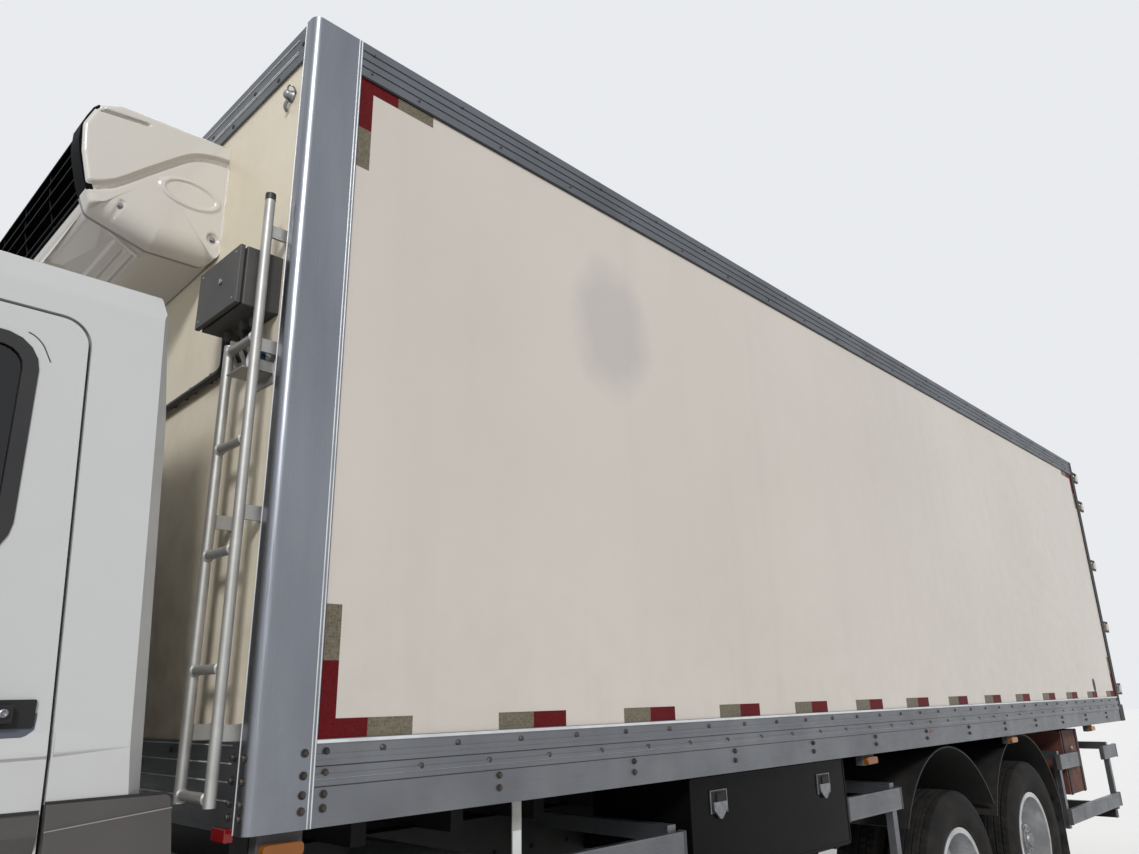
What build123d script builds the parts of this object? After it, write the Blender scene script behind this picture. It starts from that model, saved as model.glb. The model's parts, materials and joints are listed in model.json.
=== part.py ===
from build123d import *
import math
import os

# A three-axle refrigerated truck: tilting flat-nosed cab, ladder frame, insulated box
# with a nose-mounted cooling unit. Millimetres; +X forward, +Y left, +Z up,
# origin on the ground under the middle of the overall box.
# The cab and front axle keep their distance from FRONT_X, the rear axles theirs from
# REAR_X, and what hangs between the axles keeps its share of the wheelbase.

# Overall
LENGTH = 10700.0
FRONT_X = LENGTH / 2
REAR_X = -LENGTH / 2

# Insulated box
BOX_WIDTH = 2600.0
HALF = BOX_WIDTH / 2
BOX_BOTTOM = 1280.0
BOX_TOP = 3735.0
PANEL_X = FRONT_X - 2330.0      # front edge of the box's side panels
BOTTOM_RAIL_TALL = 213.0
TOP_RAIL_TALL = 134.0
RAIL_WALL = 8.0                 # thickness of the aluminium edge rails
RAIL_FLANGE = 70.0
RAIL_SKIN = 6.0                 # flanges and roof skin
RIDGE_TALL = 12.0
RIDGE_OUT = 4.0
RIDGES = (100.0, 115.0, 149.0, 164.0, 201.0)    # ridge heights on the bottom rail
GROOVES = (30.0, 62.0, 94.0)                    # groove heights on the top rail
GROOVE_TALL = 8.0
GROOVE_DEEP = 3.0
POST_DEEP = 180.0               # corner post, front to back
POST_WIDE = 58.0
POST_ROUND = 30.0
FRONT_RAIL_BACK = 5.0           # front rails behind the posts' front faces
WALL = 65.0
FRONT_WALL = 70.0
FRONT_WALL_BACK = 15.0          # front wall behind the posts' front faces
FLOOR_TOP = 1440.0
ROOF_THICK = 80.0
REAR_FRAME_DEEP = 80.0
REAR_POST_WIDE = 80.0
SILL_TALL = 165.0
SILL_STEP = 60.0
SILL_STEP_DROP = 25.0
HEADER_TALL = 120.0

# Rear doors and their hinge pins
REAR_PIN_BACK = 15.0
REAR_DOOR_THICK = 80.0
REAR_DOOR_SEAL = 5.0
REAR_DOOR_GAP = 8.0
REAR_DOOR_EDGE = 22.0           # door edge inside the box's side
REAR_DOOR_TOP = 30.0
REAR_PIN_R = 7.0
REAR_KNUCKLE_R = 15.0
REAR_PIN_STANDOFF = 50.0        # pin axis behind the door's outer face
REAR_PIN_INBOARD = 8.0          # pin axis inside the box's side
HINGES_UP = (0.05, 0.30, 0.56, 0.82, 0.95)      # shares of the door's height
LOCK_GUIDES_UP = (0.03, 0.25, 0.47, 0.69, 0.95)
HINGE_HALF = 30.0
HINGE_SHEET = 8.0
LOCK_BAR_R = 13.0
LOCK_BAR_STANDOFF = 16.0
LOCK_BAR_Y = (0.155, 0.68)      # shares of the half width
LOCK_HANDLE_Z = (1760.0, 1790.0)
LOCK_HANDLE_LONG = 330.0

# Ladder frame and subframe
RAIL_OUT = 425.0                # outer face of the frame rails
RAIL_HIGH = 270.0
RAIL_TOP = 1000.0
RAIL_FLANGE_WIDE = 75.0
RAIL_SHEET = 9.0
RAIL_FRONT_X = FRONT_X - 450.0
RAIL_REAR_X = REAR_X + 400.0
CROSS_R = 45.0
CROSS_DROP = 60.0
SUB_HIGH = 110.0
SUB_WIDE = 70.0
BEARER_WIDE = 60.0
BEARER_PITCH = 430.0
BEARER_LONG = 1280.0

# Wheels and axles
TYRE_R = 506.0
TYRE_WIDE = 275.0
RIM_R = 286.0
RIM_FLANGE_R = 304.0
RIM_WIDE = 232.0
RIM_LIP = 10.0
TYRE_FIT = 0.3
WHEEL_SHEET = 10.0
HUB_R = 95.0
SPINDLE_R = 40.0
SPINDLE_FIT = 0.05
DRUM_R = 205.0
HAND_HOLES = 10
HAND_HOLE_R = 32.0
HAND_HOLE_PCR = 212.0
FRONT_AXLE_X = FRONT_X - 1380.0
DRIVE_AXLE_X = REAR_X + 4110.0
AXLE_PITCH = 1320.0
TAG_AXLE_X = DRIVE_AXLE_X - AXLE_PITCH
TAG_LIFT = 80.0
TAG_Z = TYRE_R + TAG_LIFT
WHEELBASE = FRONT_AXLE_X - DRIVE_AXLE_X
FRONT_WHEEL_Y = HALF - 240.0
TWIN_OUTER_Y = HALF - 198.0
TWIN_INNER_Y = TWIN_OUTER_Y - 310.0
KINGPIN_Y = FRONT_WHEEL_Y - 190.0
KINGPIN_R = 24.0
EYE_R = 55.0
EYE_GAP = 5.0
STEER_ARM = 210.0
STEER_ROD_R = 20.0
STEER_BALL_R = 14.0
STEER_BALL_FIT = 5.0

# Cab
CAB_FRONT_X = FRONT_X - 15.0
CAB_REAR_X = FRONT_X - 1945.0
CAB_REAR_LEAN = 95.0            # the back wall leans forward by this at the roof
CAB_REAR_BEND = (45.0, 2300.0)  # lean and height where the lean grows
CAB_REAR_CHAMFER = 35.0
CAB_CREASE = (47.0, 2585.0)     # inset and height of the crease along the roof's edge
CAB_EDGE = (92.0, 2668.0)
CAB_ROOF = 2715.0
CAB_HALF = HALF - 70.0
CAB_SILL = 1250.0               # underside of the cab behind the front corners
CAB_NOSE_BOTTOM = 905.0
NOSE_BACK_X = FRONT_X - 350.0
CAB_WALL = 50.0
CAB_FLOOR_THICK = 45.0
CAB_GAP = 8.0
CAB_TILT_X = FRONT_X - 235.0
CAB_TILT_Z = 750.0
NOSE_LIP = 27.0
TUNNEL_HALF = 470.0
TUNNEL_TOP = 1560.0
TUNNEL_FRONT_X = FRONT_X - 390.0
GLASS_INSET = 6.0
GLASS_THICK = 8.0
SKIRT_TOP = 1385.0
SKIRT_BACK = 62.0
SKIRT_OUT = 8.0
DOOR_BACK = 275.0               # door pin line behind the cab's front
DOOR_PIN_BACK = 12.0
DOOR_PIN_IN = 6.0
DOOR_PIN_R = 4.0
DOOR_HINGE_Z = (1400.0, 1640.0)

# Things hung on the sides
SIDE_Y = HALF - 75.0            # outer face of guards and boxes
GUARD_THICK = 28.0
GUARD_TALL = 105.0
GUARD_POST = 40.0
GUARD_POST_WIDE = 50.0
GUARD_ARM_Z = (RAIL_TOP + 50.0, RAIL_TOP + SUB_HIGH)
MUDGUARD_SHEET = 10.0
MUDGUARD_STAY_R = 15.0
MUDGUARD_GAP = 32.0             # between the two rear mudguards
TOOLBOX_Z = (880.0, 1268.0)
TOOLBOX_DEEP = 520.0
TOOLBOX_SHEET = 8.0
LID_THICK = 14.0
LID_GAP = 0.3
LID_PIN_R = 3.5
LID_KNUCKLE_R = 6.5

SIDES = (1, -1)
parts = {}


def span(x, y, z):
    """Block from (low, high) pairs along X, Y and Z."""
    middle = [(pair[0] + pair[1]) / 2 for pair in (x, y, z)]
    return Pos(*middle) * Box(*[abs(pair[1] - pair[0]) for pair in (x, y, z)])


def rod(start, end, radius):
    """Round bar from one point to another."""
    start, end = Vector(*start), Vector(*end)
    low = (Align.CENTER, Align.CENTER, Align.MIN)
    return Plane(origin=start, z_dir=end - start) * Cylinder(radius, (end - start).length, align=low)


def outline(corners):
    """Closed face from corners (a, b, radius): straight sides, arcs at the corners."""
    runs = []
    for index, (a, b, radius) in enumerate(corners):
        corner = Vector(a, b)
        back = (Vector(*corners[index - 1][:2]) - corner).normalized()
        onward = (Vector(*corners[(index + 1) % len(corners)][:2]) - corner).normalized()
        half = math.acos(max(-1.0, min(1.0, back.dot(onward)))) / 2
        cut = radius / math.tan(half)
        inward = (back + onward).normalized() if radius else Vector(0, 0)
        middle = corner + inward * (radius / math.sin(half) - radius)
        runs.append((corner + back * cut, middle, corner + onward * cut, radius))
    edges = []
    for index, (enter, middle, leave, radius) in enumerate(runs):
        edges.append(Line(runs[index - 1][2], enter))
        if radius:
            edges.append(ThreePointArc(enter, middle, leave))
    return make_face(edges)


def inset(corners, amount):
    """The same corners moved inward by amount, for outlines drawn clockwise or not."""
    area = sum(p[0] * q[1] - q[0] * p[1] for p, q in zip(corners[-1:] + corners[:-1], corners))
    side = 1 if area > 0 else -1
    moved = []
    for index, (a, b, radius) in enumerate(corners):
        before = Vector(*corners[index - 1][:2])
        after = Vector(*corners[(index + 1) % len(corners)][:2])
        here = Vector(a, b)
        into = (here - before).normalized()
        out = (after - here).normalized()
        normal_in = Vector(-into.Y, into.X) * side
        normal_out = Vector(-out.Y, out.X) * side
        shift = (normal_in + normal_out) * (amount / (1 + normal_in.dot(normal_out)))
        turn = (into.X * out.Y - into.Y * out.X) * side
        grown = radius - amount if turn > 0 else radius + amount
        moved.append((a + shift.X, b + shift.Y, max(grown, 1.0) if radius else 0.0))
    return moved


def along_y(face, low, high):
    """Extrude a face drawn in (X, Z) from y = low to y = high."""
    plane = Plane(origin=(0, high, 0), x_dir=(1, 0, 0), z_dir=(0, -1, 0))
    return extrude(plane * face, amount=high - low)


def along_x(face, low, high):
    """Extrude a face drawn in (Y, Z) from x = low to x = high."""
    plane = Plane(origin=(low, 0, 0), x_dir=(0, 1, 0), z_dir=(1, 0, 0))
    return extrude(plane * face, amount=high - low)


def along_z(face, low, high):
    """Extrude a face drawn in (X, Y) from z = low to z = high."""
    return extrude(Pos(0, 0, low) * face, amount=high - low)


def spun(points, x, y, z):
    """Revolve (offset along Y, radius) points about the axle line through (x, z)."""
    profile = make_face(Polyline(*[(offset, radius) for offset, radius in points], close=True))
    solid = revolve(profile, Axis.X)
    return Pos(x, y, z) * Rot(0, 0, 90) * solid


def mirrored(shape):
    """The same shape on the truck's right side."""
    return mirror(shape, about=Plane.XZ)


def both(shape):
    """A left-hand shape with its right-hand twin."""
    return [shape, mirrored(shape)]


def keep(name, *shapes):
    """Store the solids of one node."""
    solids = []
    for shape in shapes:
        for item in (shape if isinstance(shape, list) else [shape]):
            solids.extend(item.solids())
    parts[name] = solids[0] if len(solids) == 1 else Compound(children=solids)


def station(share):
    """Place along the truck at a share of the wheelbase ahead of the drive axle."""
    return DRIVE_AXLE_X + share * WHEELBASE


def ring(centre, inner, outer, start, end, low, high):
    """Arched band about a line along Y, between two angles in degrees."""
    x, z = centre
    cuts = [(start, inner), (start, outer), (end, outer), (end, inner)]
    point = [(x + r * math.cos(math.radians(a)), z + r * math.sin(math.radians(a))) for a, r in cuts]
    half = math.radians((start + end) / 2)
    top = (x + outer * math.cos(half), z + outer * math.sin(half))
    under = (x + inner * math.cos(half), z + inner * math.sin(half))
    edges = [Line(point[0], point[1]), ThreePointArc(point[1], top, point[2]),
             Line(point[2], point[3]), ThreePointArc(point[3], under, point[0])]
    return along_y(make_face(edges), low, high)


# Box: edge rails, posts, walls, floor, roof and rear frame
POST_FRONT_X = PANEL_X + POST_DEEP
FRONT_FACE = POST_FRONT_X - FRONT_WALL_BACK
REAR_PIN_X = REAR_X + REAR_PIN_BACK
REAR_DOOR_OUT = REAR_PIN_X + REAR_PIN_STANDOFF
REAR_DOOR_IN = REAR_DOOR_OUT + REAR_DOOR_THICK
BOX_REAR_X = REAR_DOOR_IN + REAR_DOOR_SEAL
FRAME_FRONT_X = BOX_REAR_X + REAR_FRAME_DEEP
PANEL_BOTTOM = BOX_BOTTOM + BOTTOM_RAIL_TALL
PANEL_TOP = BOX_TOP - TOP_RAIL_TALL
PANEL_OUT = HALF - RAIL_WALL
LONG = (FRAME_FRONT_X, PANEL_X)


def bottom_rail():
    """Left bottom rail: a web with raised ridges and a flange under the floor."""
    web_out = HALF - RIDGE_OUT
    rail = span(LONG, (PANEL_OUT, web_out), (BOX_BOTTOM, PANEL_BOTTOM))
    rail += span(LONG, (PANEL_OUT - RAIL_FLANGE, PANEL_OUT), (BOX_BOTTOM, BOX_BOTTOM + RAIL_SKIN))
    for height in RIDGES:
        low = BOX_BOTTOM + height
        rail += span(LONG, (web_out, HALF), (low, low + RIDGE_TALL))
    return rail


def top_rail():
    """Left top rail: a grooved web and a flange over the roof."""
    rail = span(LONG, (PANEL_OUT, HALF), (PANEL_TOP, BOX_TOP))
    rail += span(LONG, (PANEL_OUT - RAIL_FLANGE, PANEL_OUT), (BOX_TOP - RAIL_SKIN, BOX_TOP))
    for height in GROOVES:
        low = PANEL_TOP + height
        rail -= span(LONG, (HALF - GROOVE_DEEP, HALF), (low, low + GROOVE_TALL))
    return rail


def front_rail(low, high):
    """Rail across the front wall, between the posts."""
    inner = HALF - POST_WIDE
    return span((FRONT_FACE, POST_FRONT_X - FRONT_RAIL_BACK), (-inner, inner), (low, high))


def corner_post():
    """Left front post, round at its outer corner, over the front wall's end."""
    plan = outline([(PANEL_X, HALF, 0), (POST_FRONT_X, HALF, POST_ROUND), (POST_FRONT_X, HALF - POST_WIDE, 0),
                    (FRONT_FACE, HALF - POST_WIDE, 0), (FRONT_FACE, PANEL_OUT, 0), (PANEL_X, PANEL_OUT, 0)])
    return along_z(plan, BOX_BOTTOM, BOX_TOP)


keep("bottom_rails", both(bottom_rail()), front_rail(BOX_BOTTOM, PANEL_BOTTOM))
keep("top_rails", both(top_rail()), front_rail(PANEL_TOP, BOX_TOP))
keep("corner_posts", both(corner_post()))

ROOF_BOTTOM = BOX_TOP - RAIL_SKIN - ROOF_THICK
FLOOR_BOTTOM = BOX_BOTTOM + RAIL_SKIN
WALL_FRONT_X = FRONT_FACE - FRONT_WALL
WALL_IN = PANEL_OUT - WALL
keep("side_walls", both(span((FRAME_FRONT_X, WALL_FRONT_X), (WALL_IN, PANEL_OUT), (FLOOR_BOTTOM, ROOF_BOTTOM))))
keep("front_wall", span((WALL_FRONT_X, FRONT_FACE), (-PANEL_OUT, PANEL_OUT), (FLOOR_BOTTOM, ROOF_BOTTOM)))
keep("box_floor", span((FRAME_FRONT_X, WALL_FRONT_X), (-WALL_IN, WALL_IN), (FLOOR_BOTTOM, FLOOR_TOP)))
keep("roof", span((FRAME_FRONT_X, FRONT_FACE), (-PANEL_OUT, PANEL_OUT), (ROOF_BOTTOM, BOX_TOP - RAIL_SKIN)))

rear_frame = span((BOX_REAR_X, FRAME_FRONT_X), (-HALF, HALF), (BOX_BOTTOM, BOX_TOP))
rear_frame -= span((BOX_REAR_X, FRAME_FRONT_X), (-HALF + REAR_POST_WIDE, HALF - REAR_POST_WIDE),
                   (BOX_BOTTOM + SILL_TALL, BOX_TOP - HEADER_TALL))
rear_frame += span((BOX_REAR_X - SILL_STEP, BOX_REAR_X), (-HALF, HALF),
                   (BOX_BOTTOM, BOX_BOTTOM + SILL_TALL - SILL_STEP_DROP))

# Rear doors: panel with its hinges, lock bars and handles
REAR_PIN_Y = HALF - REAR_PIN_INBOARD
REAR_DOOR_Z = (BOX_BOTTOM + SILL_TALL, BOX_TOP - REAR_DOOR_TOP)
REAR_DOOR_TALL = REAR_DOOR_Z[1] - REAR_DOOR_Z[0]
HINGE_ARM_Y = (HALF - 52.0, HALF - 40.0)
HINGE_BLADE_Y = HALF - 300.0
PIN_HALF = 50.0                 # half length of a hinge pin
PIN_LUG = 18.0

rear_door = span((REAR_DOOR_OUT, REAR_DOOR_IN), (REAR_DOOR_GAP / 2, HALF - REAR_DOOR_EDGE), REAR_DOOR_Z)
for share in HINGES_UP:
    height = REAR_DOOR_Z[0] + share * REAR_DOOR_TALL
    tall = (height - HINGE_HALF, height + HINGE_HALF)
    link_x = (REAR_PIN_X - HINGE_SHEET / 2, REAR_PIN_X + HINGE_SHEET / 2)
    hinge = span((REAR_DOOR_OUT - HINGE_SHEET, REAR_DOOR_OUT), (HINGE_BLADE_Y, HINGE_ARM_Y[1]), tall)
    hinge += span((link_x[0], REAR_DOOR_OUT - HINGE_SHEET), HINGE_ARM_Y, tall)
    hinge += span(link_x, (HINGE_ARM_Y[1], REAR_PIN_Y), tall)
    hinge += rod((REAR_PIN_X, REAR_PIN_Y, tall[0]), (REAR_PIN_X, REAR_PIN_Y, tall[1]), REAR_KNUCKLE_R)
    pin = ((REAR_PIN_X, REAR_PIN_Y, height - PIN_HALF), (REAR_PIN_X, REAR_PIN_Y, height + PIN_HALF))
    rear_door += hinge - rod(*pin, REAR_PIN_R + SPINDLE_FIT)
    rear_frame += both(rod(*pin, REAR_PIN_R))
    for low in (height - PIN_HALF, height + PIN_HALF - PIN_LUG):
        lug = span((REAR_PIN_X - HINGE_SHEET, BOX_REAR_X), (HALF - 2 * REAR_PIN_INBOARD, HALF), (low, low + PIN_LUG))
        rear_frame += both(lug)
for share in LOCK_BAR_Y:
    y = share * HALF
    bar_x = REAR_DOOR_OUT - LOCK_BAR_STANDOFF
    bar = rod((bar_x, y, REAR_DOOR_Z[0] - 20), (bar_x, y, REAR_DOOR_Z[1] + 15), LOCK_BAR_R)
    for guide in LOCK_GUIDES_UP:
        height = REAR_DOOR_Z[0] + guide * REAR_DOOR_TALL
        bar += span((bar_x - LOCK_BAR_R - 3, REAR_DOOR_OUT), (y - 35, y + 35), (height - 25, height + 25))
    rear_door += bar + span((bar_x - 12, bar_x + 4), (y, y + LOCK_HANDLE_LONG), LOCK_HANDLE_Z)
keep("rear_frame", rear_frame)
keep("rear_door_left", rear_door)
keep("rear_door_right", mirrored(rear_door))

# Ladder frame
RAIL_BOTTOM = RAIL_TOP - RAIL_HIGH
WEB_IN = RAIL_OUT - RAIL_SHEET
FLANGE_IN = RAIL_OUT - RAIL_FLANGE_WIDE
channel = outline([(RAIL_OUT, RAIL_BOTTOM, 0), (RAIL_OUT, RAIL_TOP, 0), (FLANGE_IN, RAIL_TOP, 0),
                   (FLANGE_IN, RAIL_TOP - RAIL_SHEET, 0), (WEB_IN, RAIL_TOP - RAIL_SHEET, 0),
                   (WEB_IN, RAIL_BOTTOM + RAIL_SHEET, 0), (FLANGE_IN, RAIL_BOTTOM + RAIL_SHEET, 0),
                   (FLANGE_IN, RAIL_BOTTOM, 0)])
rail = along_x(channel, RAIL_REAR_X, RAIL_FRONT_X)
frame = rail + mirrored(rail)
CROSS_Z = RAIL_TOP - CROSS_DROP
CROSS_X = (RAIL_REAR_X + 50, RAIL_REAR_X + 1050, RAIL_REAR_X + 1950, DRIVE_AXLE_X - AXLE_PITCH / 2,
           DRIVE_AXLE_X + 640, station(0.39), FRONT_X - 3150, FRONT_X - 2650, RAIL_FRONT_X - 50)
for x in CROSS_X:
    frame += rod((x, -WEB_IN, CROSS_Z), (x, WEB_IN, CROSS_Z), CROSS_R)
TILT_PIN_R = 18.0
TILT_EYE_R = 45.0
TILT_EYE_Y = (RAIL_OUT - 40.0, RAIL_OUT)
tilt_eye = span((RAIL_FRONT_X - 20, CAB_TILT_X), TILT_EYE_Y, (CAB_TILT_Z - TILT_EYE_R, CAB_TILT_Z + 60))
tilt_eye += rod((CAB_TILT_X, TILT_EYE_Y[0], CAB_TILT_Z), (CAB_TILT_X, TILT_EYE_Y[1], CAB_TILT_Z), TILT_EYE_R)
tilt_eye -= rod((CAB_TILT_X, 0, CAB_TILT_Z), (CAB_TILT_X, 600, CAB_TILT_Z), TILT_PIN_R + SPINDLE_FIT)
tilt_eye += span((CAB_REAR_X + 45, CAB_REAR_X + 125), (RAIL_OUT, RAIL_OUT + 50), (800, CAB_SILL - 0.3))
frame += tilt_eye
frame += mirrored(tilt_eye)
keep("chassis_frame", frame)

subframe = span((RAIL_REAR_X, PANEL_X + 80), (RAIL_OUT - SUB_WIDE, RAIL_OUT), (RAIL_TOP, RAIL_TOP + SUB_HIGH))
subframe += mirrored(subframe)
for index in range(int((PANEL_X - RAIL_REAR_X - 200) // BEARER_PITCH) + 1):
    x = RAIL_REAR_X + 100 + index * BEARER_PITCH
    subframe += span((x - BEARER_WIDE / 2, x + BEARER_WIDE / 2), (-BEARER_LONG / 2, BEARER_LONG / 2),
                     (RAIL_TOP + SUB_HIGH, FLOOR_BOTTOM))
keep("subframe", subframe)

# Axles and suspension
BEND_Y = KINGPIN_Y - 220.0      # where the beam rises to its eyes
beam_face = outline([(-KINGPIN_Y, TYRE_R - 55, 0), (-KINGPIN_Y, TYRE_R + 55, 0), (-BEND_Y, TYRE_R + 55, 80),
                     (90 - BEND_Y, TYRE_R - 20, 80), (BEND_Y - 90, TYRE_R - 20, 80), (BEND_Y, TYRE_R + 55, 80),
                     (KINGPIN_Y, TYRE_R + 55, 0), (KINGPIN_Y, TYRE_R - 55, 0), (BEND_Y - 30, TYRE_R - 55, 80),
                     (BEND_Y - 150, TYRE_R - 110, 80), (150 - BEND_Y, TYRE_R - 110, 80), (30 - BEND_Y, TYRE_R - 55, 80)])
front_axle = along_x(beam_face, FRONT_AXLE_X - 50, FRONT_AXLE_X + 50)
for side in SIDES:
    eye_y = side * KINGPIN_Y
    front_axle += rod((FRONT_AXLE_X, eye_y, TYRE_R - EYE_R), (FRONT_AXLE_X, eye_y, TYRE_R + EYE_R), EYE_R)
for side in SIDES:
    eye_y = side * KINGPIN_Y
    front_axle -= rod((FRONT_AXLE_X, eye_y, TYRE_R - 60), (FRONT_AXLE_X, eye_y, TYRE_R + 60), KINGPIN_R + SPINDLE_FIT)
keep("front_axle", front_axle)


AXLE_END = TWIN_OUTER_Y + 48.0
PINION_LONG = 330.0


def rear_axle(x, z, driven):
    """Axle tube on stub shafts, with a differential where it is driven."""
    axle = rod((x, -AXLE_END, z), (x, AXLE_END, z), SPINDLE_R)
    axle += rod((x, -620, z), (x, 620, z), 72)
    if driven:
        axle += Pos(x, 0, z) * Sphere(215)
        axle += rod((x, 0, z), (x + PINION_LONG, 0, z), 80)
    else:
        axle += span((x - 80, x + 80), (-520, 520), (z - 60, z + 60))
    return axle


keep("rear_axles", rear_axle(DRIVE_AXLE_X, TYRE_R, True), rear_axle(TAG_AXLE_X, TAG_Z, False))

SPRING_Y = (345.0, RAIL_OUT)
LEAF_R = 2160.0
leaf = ring((FRONT_AXLE_X, TYRE_R + LEAF_R + 55), LEAF_R, LEAF_R + 55, -112, -68, *SPRING_Y)
for end_x in (FRONT_AXLE_X - 850, FRONT_AXLE_X + 850):
    leaf += span((end_x - 45, end_x + 45), SPRING_Y, (580, RAIL_BOTTOM))
springs = both(leaf + span((FRONT_AXLE_X - 75, FRONT_AXLE_X + 75), SPRING_Y, (TYRE_R - 20, TYRE_R + 30)))
for axle_x, axle_z in ((DRIVE_AXLE_X, TYRE_R), (TAG_AXLE_X, TAG_Z)):
    arm = span((axle_x - 420, axle_x + 560), SPRING_Y, (axle_z - 130, axle_z - 72))
    arm += span((axle_x + 470, axle_x + 560), SPRING_Y, (axle_z - 130, RAIL_BOTTOM))
    arm += rod((axle_x - 330, 385, axle_z - 72), (axle_x - 330, 385, RAIL_BOTTOM), 110)
    springs += both(arm)
keep("suspension", springs)

# Driveline
ENGINE_X = (FRONT_X - 1650.0, FRONT_X - 570.0)
GEARBOX_X = FRONT_X - 2500.0
engine = span(ENGINE_X, (-330, 330), (660, 1420)) + span((GEARBOX_X, ENGINE_X[0]), (-210, 210), (680, 1100))
engine += span((ENGINE_X[1] - 380, ENGINE_X[1] - 260), (-WEB_IN, WEB_IN), (780, 840))
keep("engine", engine)
PINION_X = DRIVE_AXLE_X + PINION_LONG
SHAFT_R = 55.0
joint_front = (GEARBOX_X - 60, 0, 820)
joint_mid = (station(0.372), 0, 790)
shaft = rod(joint_front, joint_mid, SHAFT_R) + Pos(*joint_mid) * Sphere(75)
shaft += rod(joint_mid, (PINION_X + 60, 0, TYRE_R), SHAFT_R)
shaft += rod((GEARBOX_X - 100, 0, 820), (GEARBOX_X, 0, 820), 80)
shaft += rod((PINION_X, 0, TYRE_R), (PINION_X + 110, 0, TYRE_R), 80)
shaft -= span((PINION_X - 200, PINION_X), (-200, 200), (300, 700))
keep("propshaft", shaft)

# Wheels
HALF_TYRE = TYRE_WIDE / 2
BEAD_HALF = 95.0
SHOULDER = (128.0, 462.0)
TREAD_HALF = 100.0
tyre_points = [(-BEAD_HALF, RIM_R + TYRE_FIT), (-HALF_TYRE, 385), (-SHOULDER[0], SHOULDER[1]), (-TREAD_HALF, TYRE_R),
               (TREAD_HALF, TYRE_R), SHOULDER, (HALF_TYRE, 385), (BEAD_HALF, RIM_R + TYRE_FIT)]


def tyre(x, y, z):
    """Plain tyre about the axle line through (x, z)."""
    return spun(tyre_points, x, y, z)


def rim(x, y, z, dish):
    """Wheel with its disc `dish` mm towards +Y of the rim's middle."""
    edge = RIM_WIDE / 2
    well = edge - RIM_LIP
    barrel = spun([(-edge, RIM_FLANGE_R), (-edge, RIM_R - 12), (edge, RIM_R - 12), (edge, RIM_FLANGE_R),
                   (well, RIM_FLANGE_R), (well, RIM_R), (-well, RIM_R), (-well, RIM_FLANGE_R)], x, y, z)
    sign = 1 if dish > 0 else -1
    near = sign * 40
    disc = spun([(near, RIM_R - 6), (near + sign * WHEEL_SHEET, RIM_R - 6), (dish, 150), (dish, 60),
                 (dish - sign * WHEEL_SHEET, 60), (dish - sign * WHEEL_SHEET, 150)], x, y, z)
    for index in range(HAND_HOLES):
        angle = math.radians(360 / HAND_HOLES * (index + 0.5))
        hole_x = x + HAND_HOLE_PCR * math.cos(angle)
        hole_z = z + HAND_HOLE_PCR * math.sin(angle)
        disc -= rod((hole_x, y - 200, hole_z), (hole_x, y + 200, hole_z), HAND_HOLE_R)
    return barrel + disc


def hub(x, low, high, z, radius):
    """Round boss along the axle line."""
    return rod((x, low, z), (x, high, z), radius)


front_rim = rim(FRONT_AXLE_X, FRONT_WHEEL_Y, TYRE_R, 90)
front_rim += hub(FRONT_AXLE_X, FRONT_WHEEL_Y - 30, FRONT_WHEEL_Y + 118, TYRE_R, HUB_R)
front_rim += hub(FRONT_AXLE_X, FRONT_WHEEL_Y - 118, FRONT_WHEEL_Y - 30, TYRE_R, DRUM_R - 10)
front_rim -= hub(FRONT_AXLE_X, FRONT_WHEEL_Y - 130, FRONT_WHEEL_Y + 60, TYRE_R, SPINDLE_R + SPINDLE_FIT)
keep("front_rim_left", front_rim)
keep("front_rim_right", mirrored(front_rim))
front_tyre = tyre(FRONT_AXLE_X, FRONT_WHEEL_Y, TYRE_R)
keep("front_tyre_left", front_tyre)
keep("front_tyre_right", mirrored(front_tyre))

TWIN_MIDDLE = (TWIN_OUTER_Y + TWIN_INNER_Y) / 2
for name, axle_x, axle_z in (("drive", DRIVE_AXLE_X, TYRE_R), ("tag", TAG_AXLE_X, TAG_Z)):
    twin = rim(axle_x, TWIN_OUTER_Y, axle_z, TWIN_MIDDLE - TWIN_OUTER_Y)
    twin += rim(axle_x, TWIN_INNER_Y, axle_z, TWIN_MIDDLE - TWIN_INNER_Y)
    twin += hub(axle_x, TWIN_MIDDLE - 20, TWIN_OUTER_Y + 60, axle_z, HUB_R)
    twin += hub(axle_x, TWIN_INNER_Y - 150, TWIN_MIDDLE - 20, axle_z, DRUM_R)
    twin -= hub(axle_x, TWIN_INNER_Y - 160, TWIN_OUTER_Y + 50, axle_z, SPINDLE_R + SPINDLE_FIT)
    tyres = [tyre(axle_x, TWIN_OUTER_Y, axle_z), tyre(axle_x, TWIN_INNER_Y, axle_z)]
    keep(name + "_rims_left", twin)
    keep(name + "_rims_right", mirrored(twin))
    keep(name + "_tyres_left", tyres)
    keep(name + "_tyres_right", [mirrored(item) for item in tyres])

# Steering: knuckles on kingpins, joined by a track rod
ARM_X = FRONT_AXLE_X - STEER_ARM
ARM_Z = (TYRE_R - 100, TYRE_R - EYE_R - EYE_GAP - 15)
ARM_HALF = 22.0
BALL_LONG = 62.0
ROD_Z = ARM_Z[0] - 32
ROD_EYE_R = 34.0
ROD_EYE_HALF = 24.0
knuckle = rod((FRONT_AXLE_X, KINGPIN_Y, TYRE_R - 105), (FRONT_AXLE_X, KINGPIN_Y, TYRE_R + 105), KINGPIN_R)
for low, high in ((TYRE_R + EYE_R + EYE_GAP, TYRE_R + 100), (TYRE_R - 100, TYRE_R - EYE_R - EYE_GAP)):
    knuckle += rod((FRONT_AXLE_X, KINGPIN_Y, low), (FRONT_AXLE_X, KINGPIN_Y, high), 52)
    knuckle += span((FRONT_AXLE_X - 50, FRONT_AXLE_X + 50), (KINGPIN_Y, KINGPIN_Y + 68), (low, high))
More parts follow.
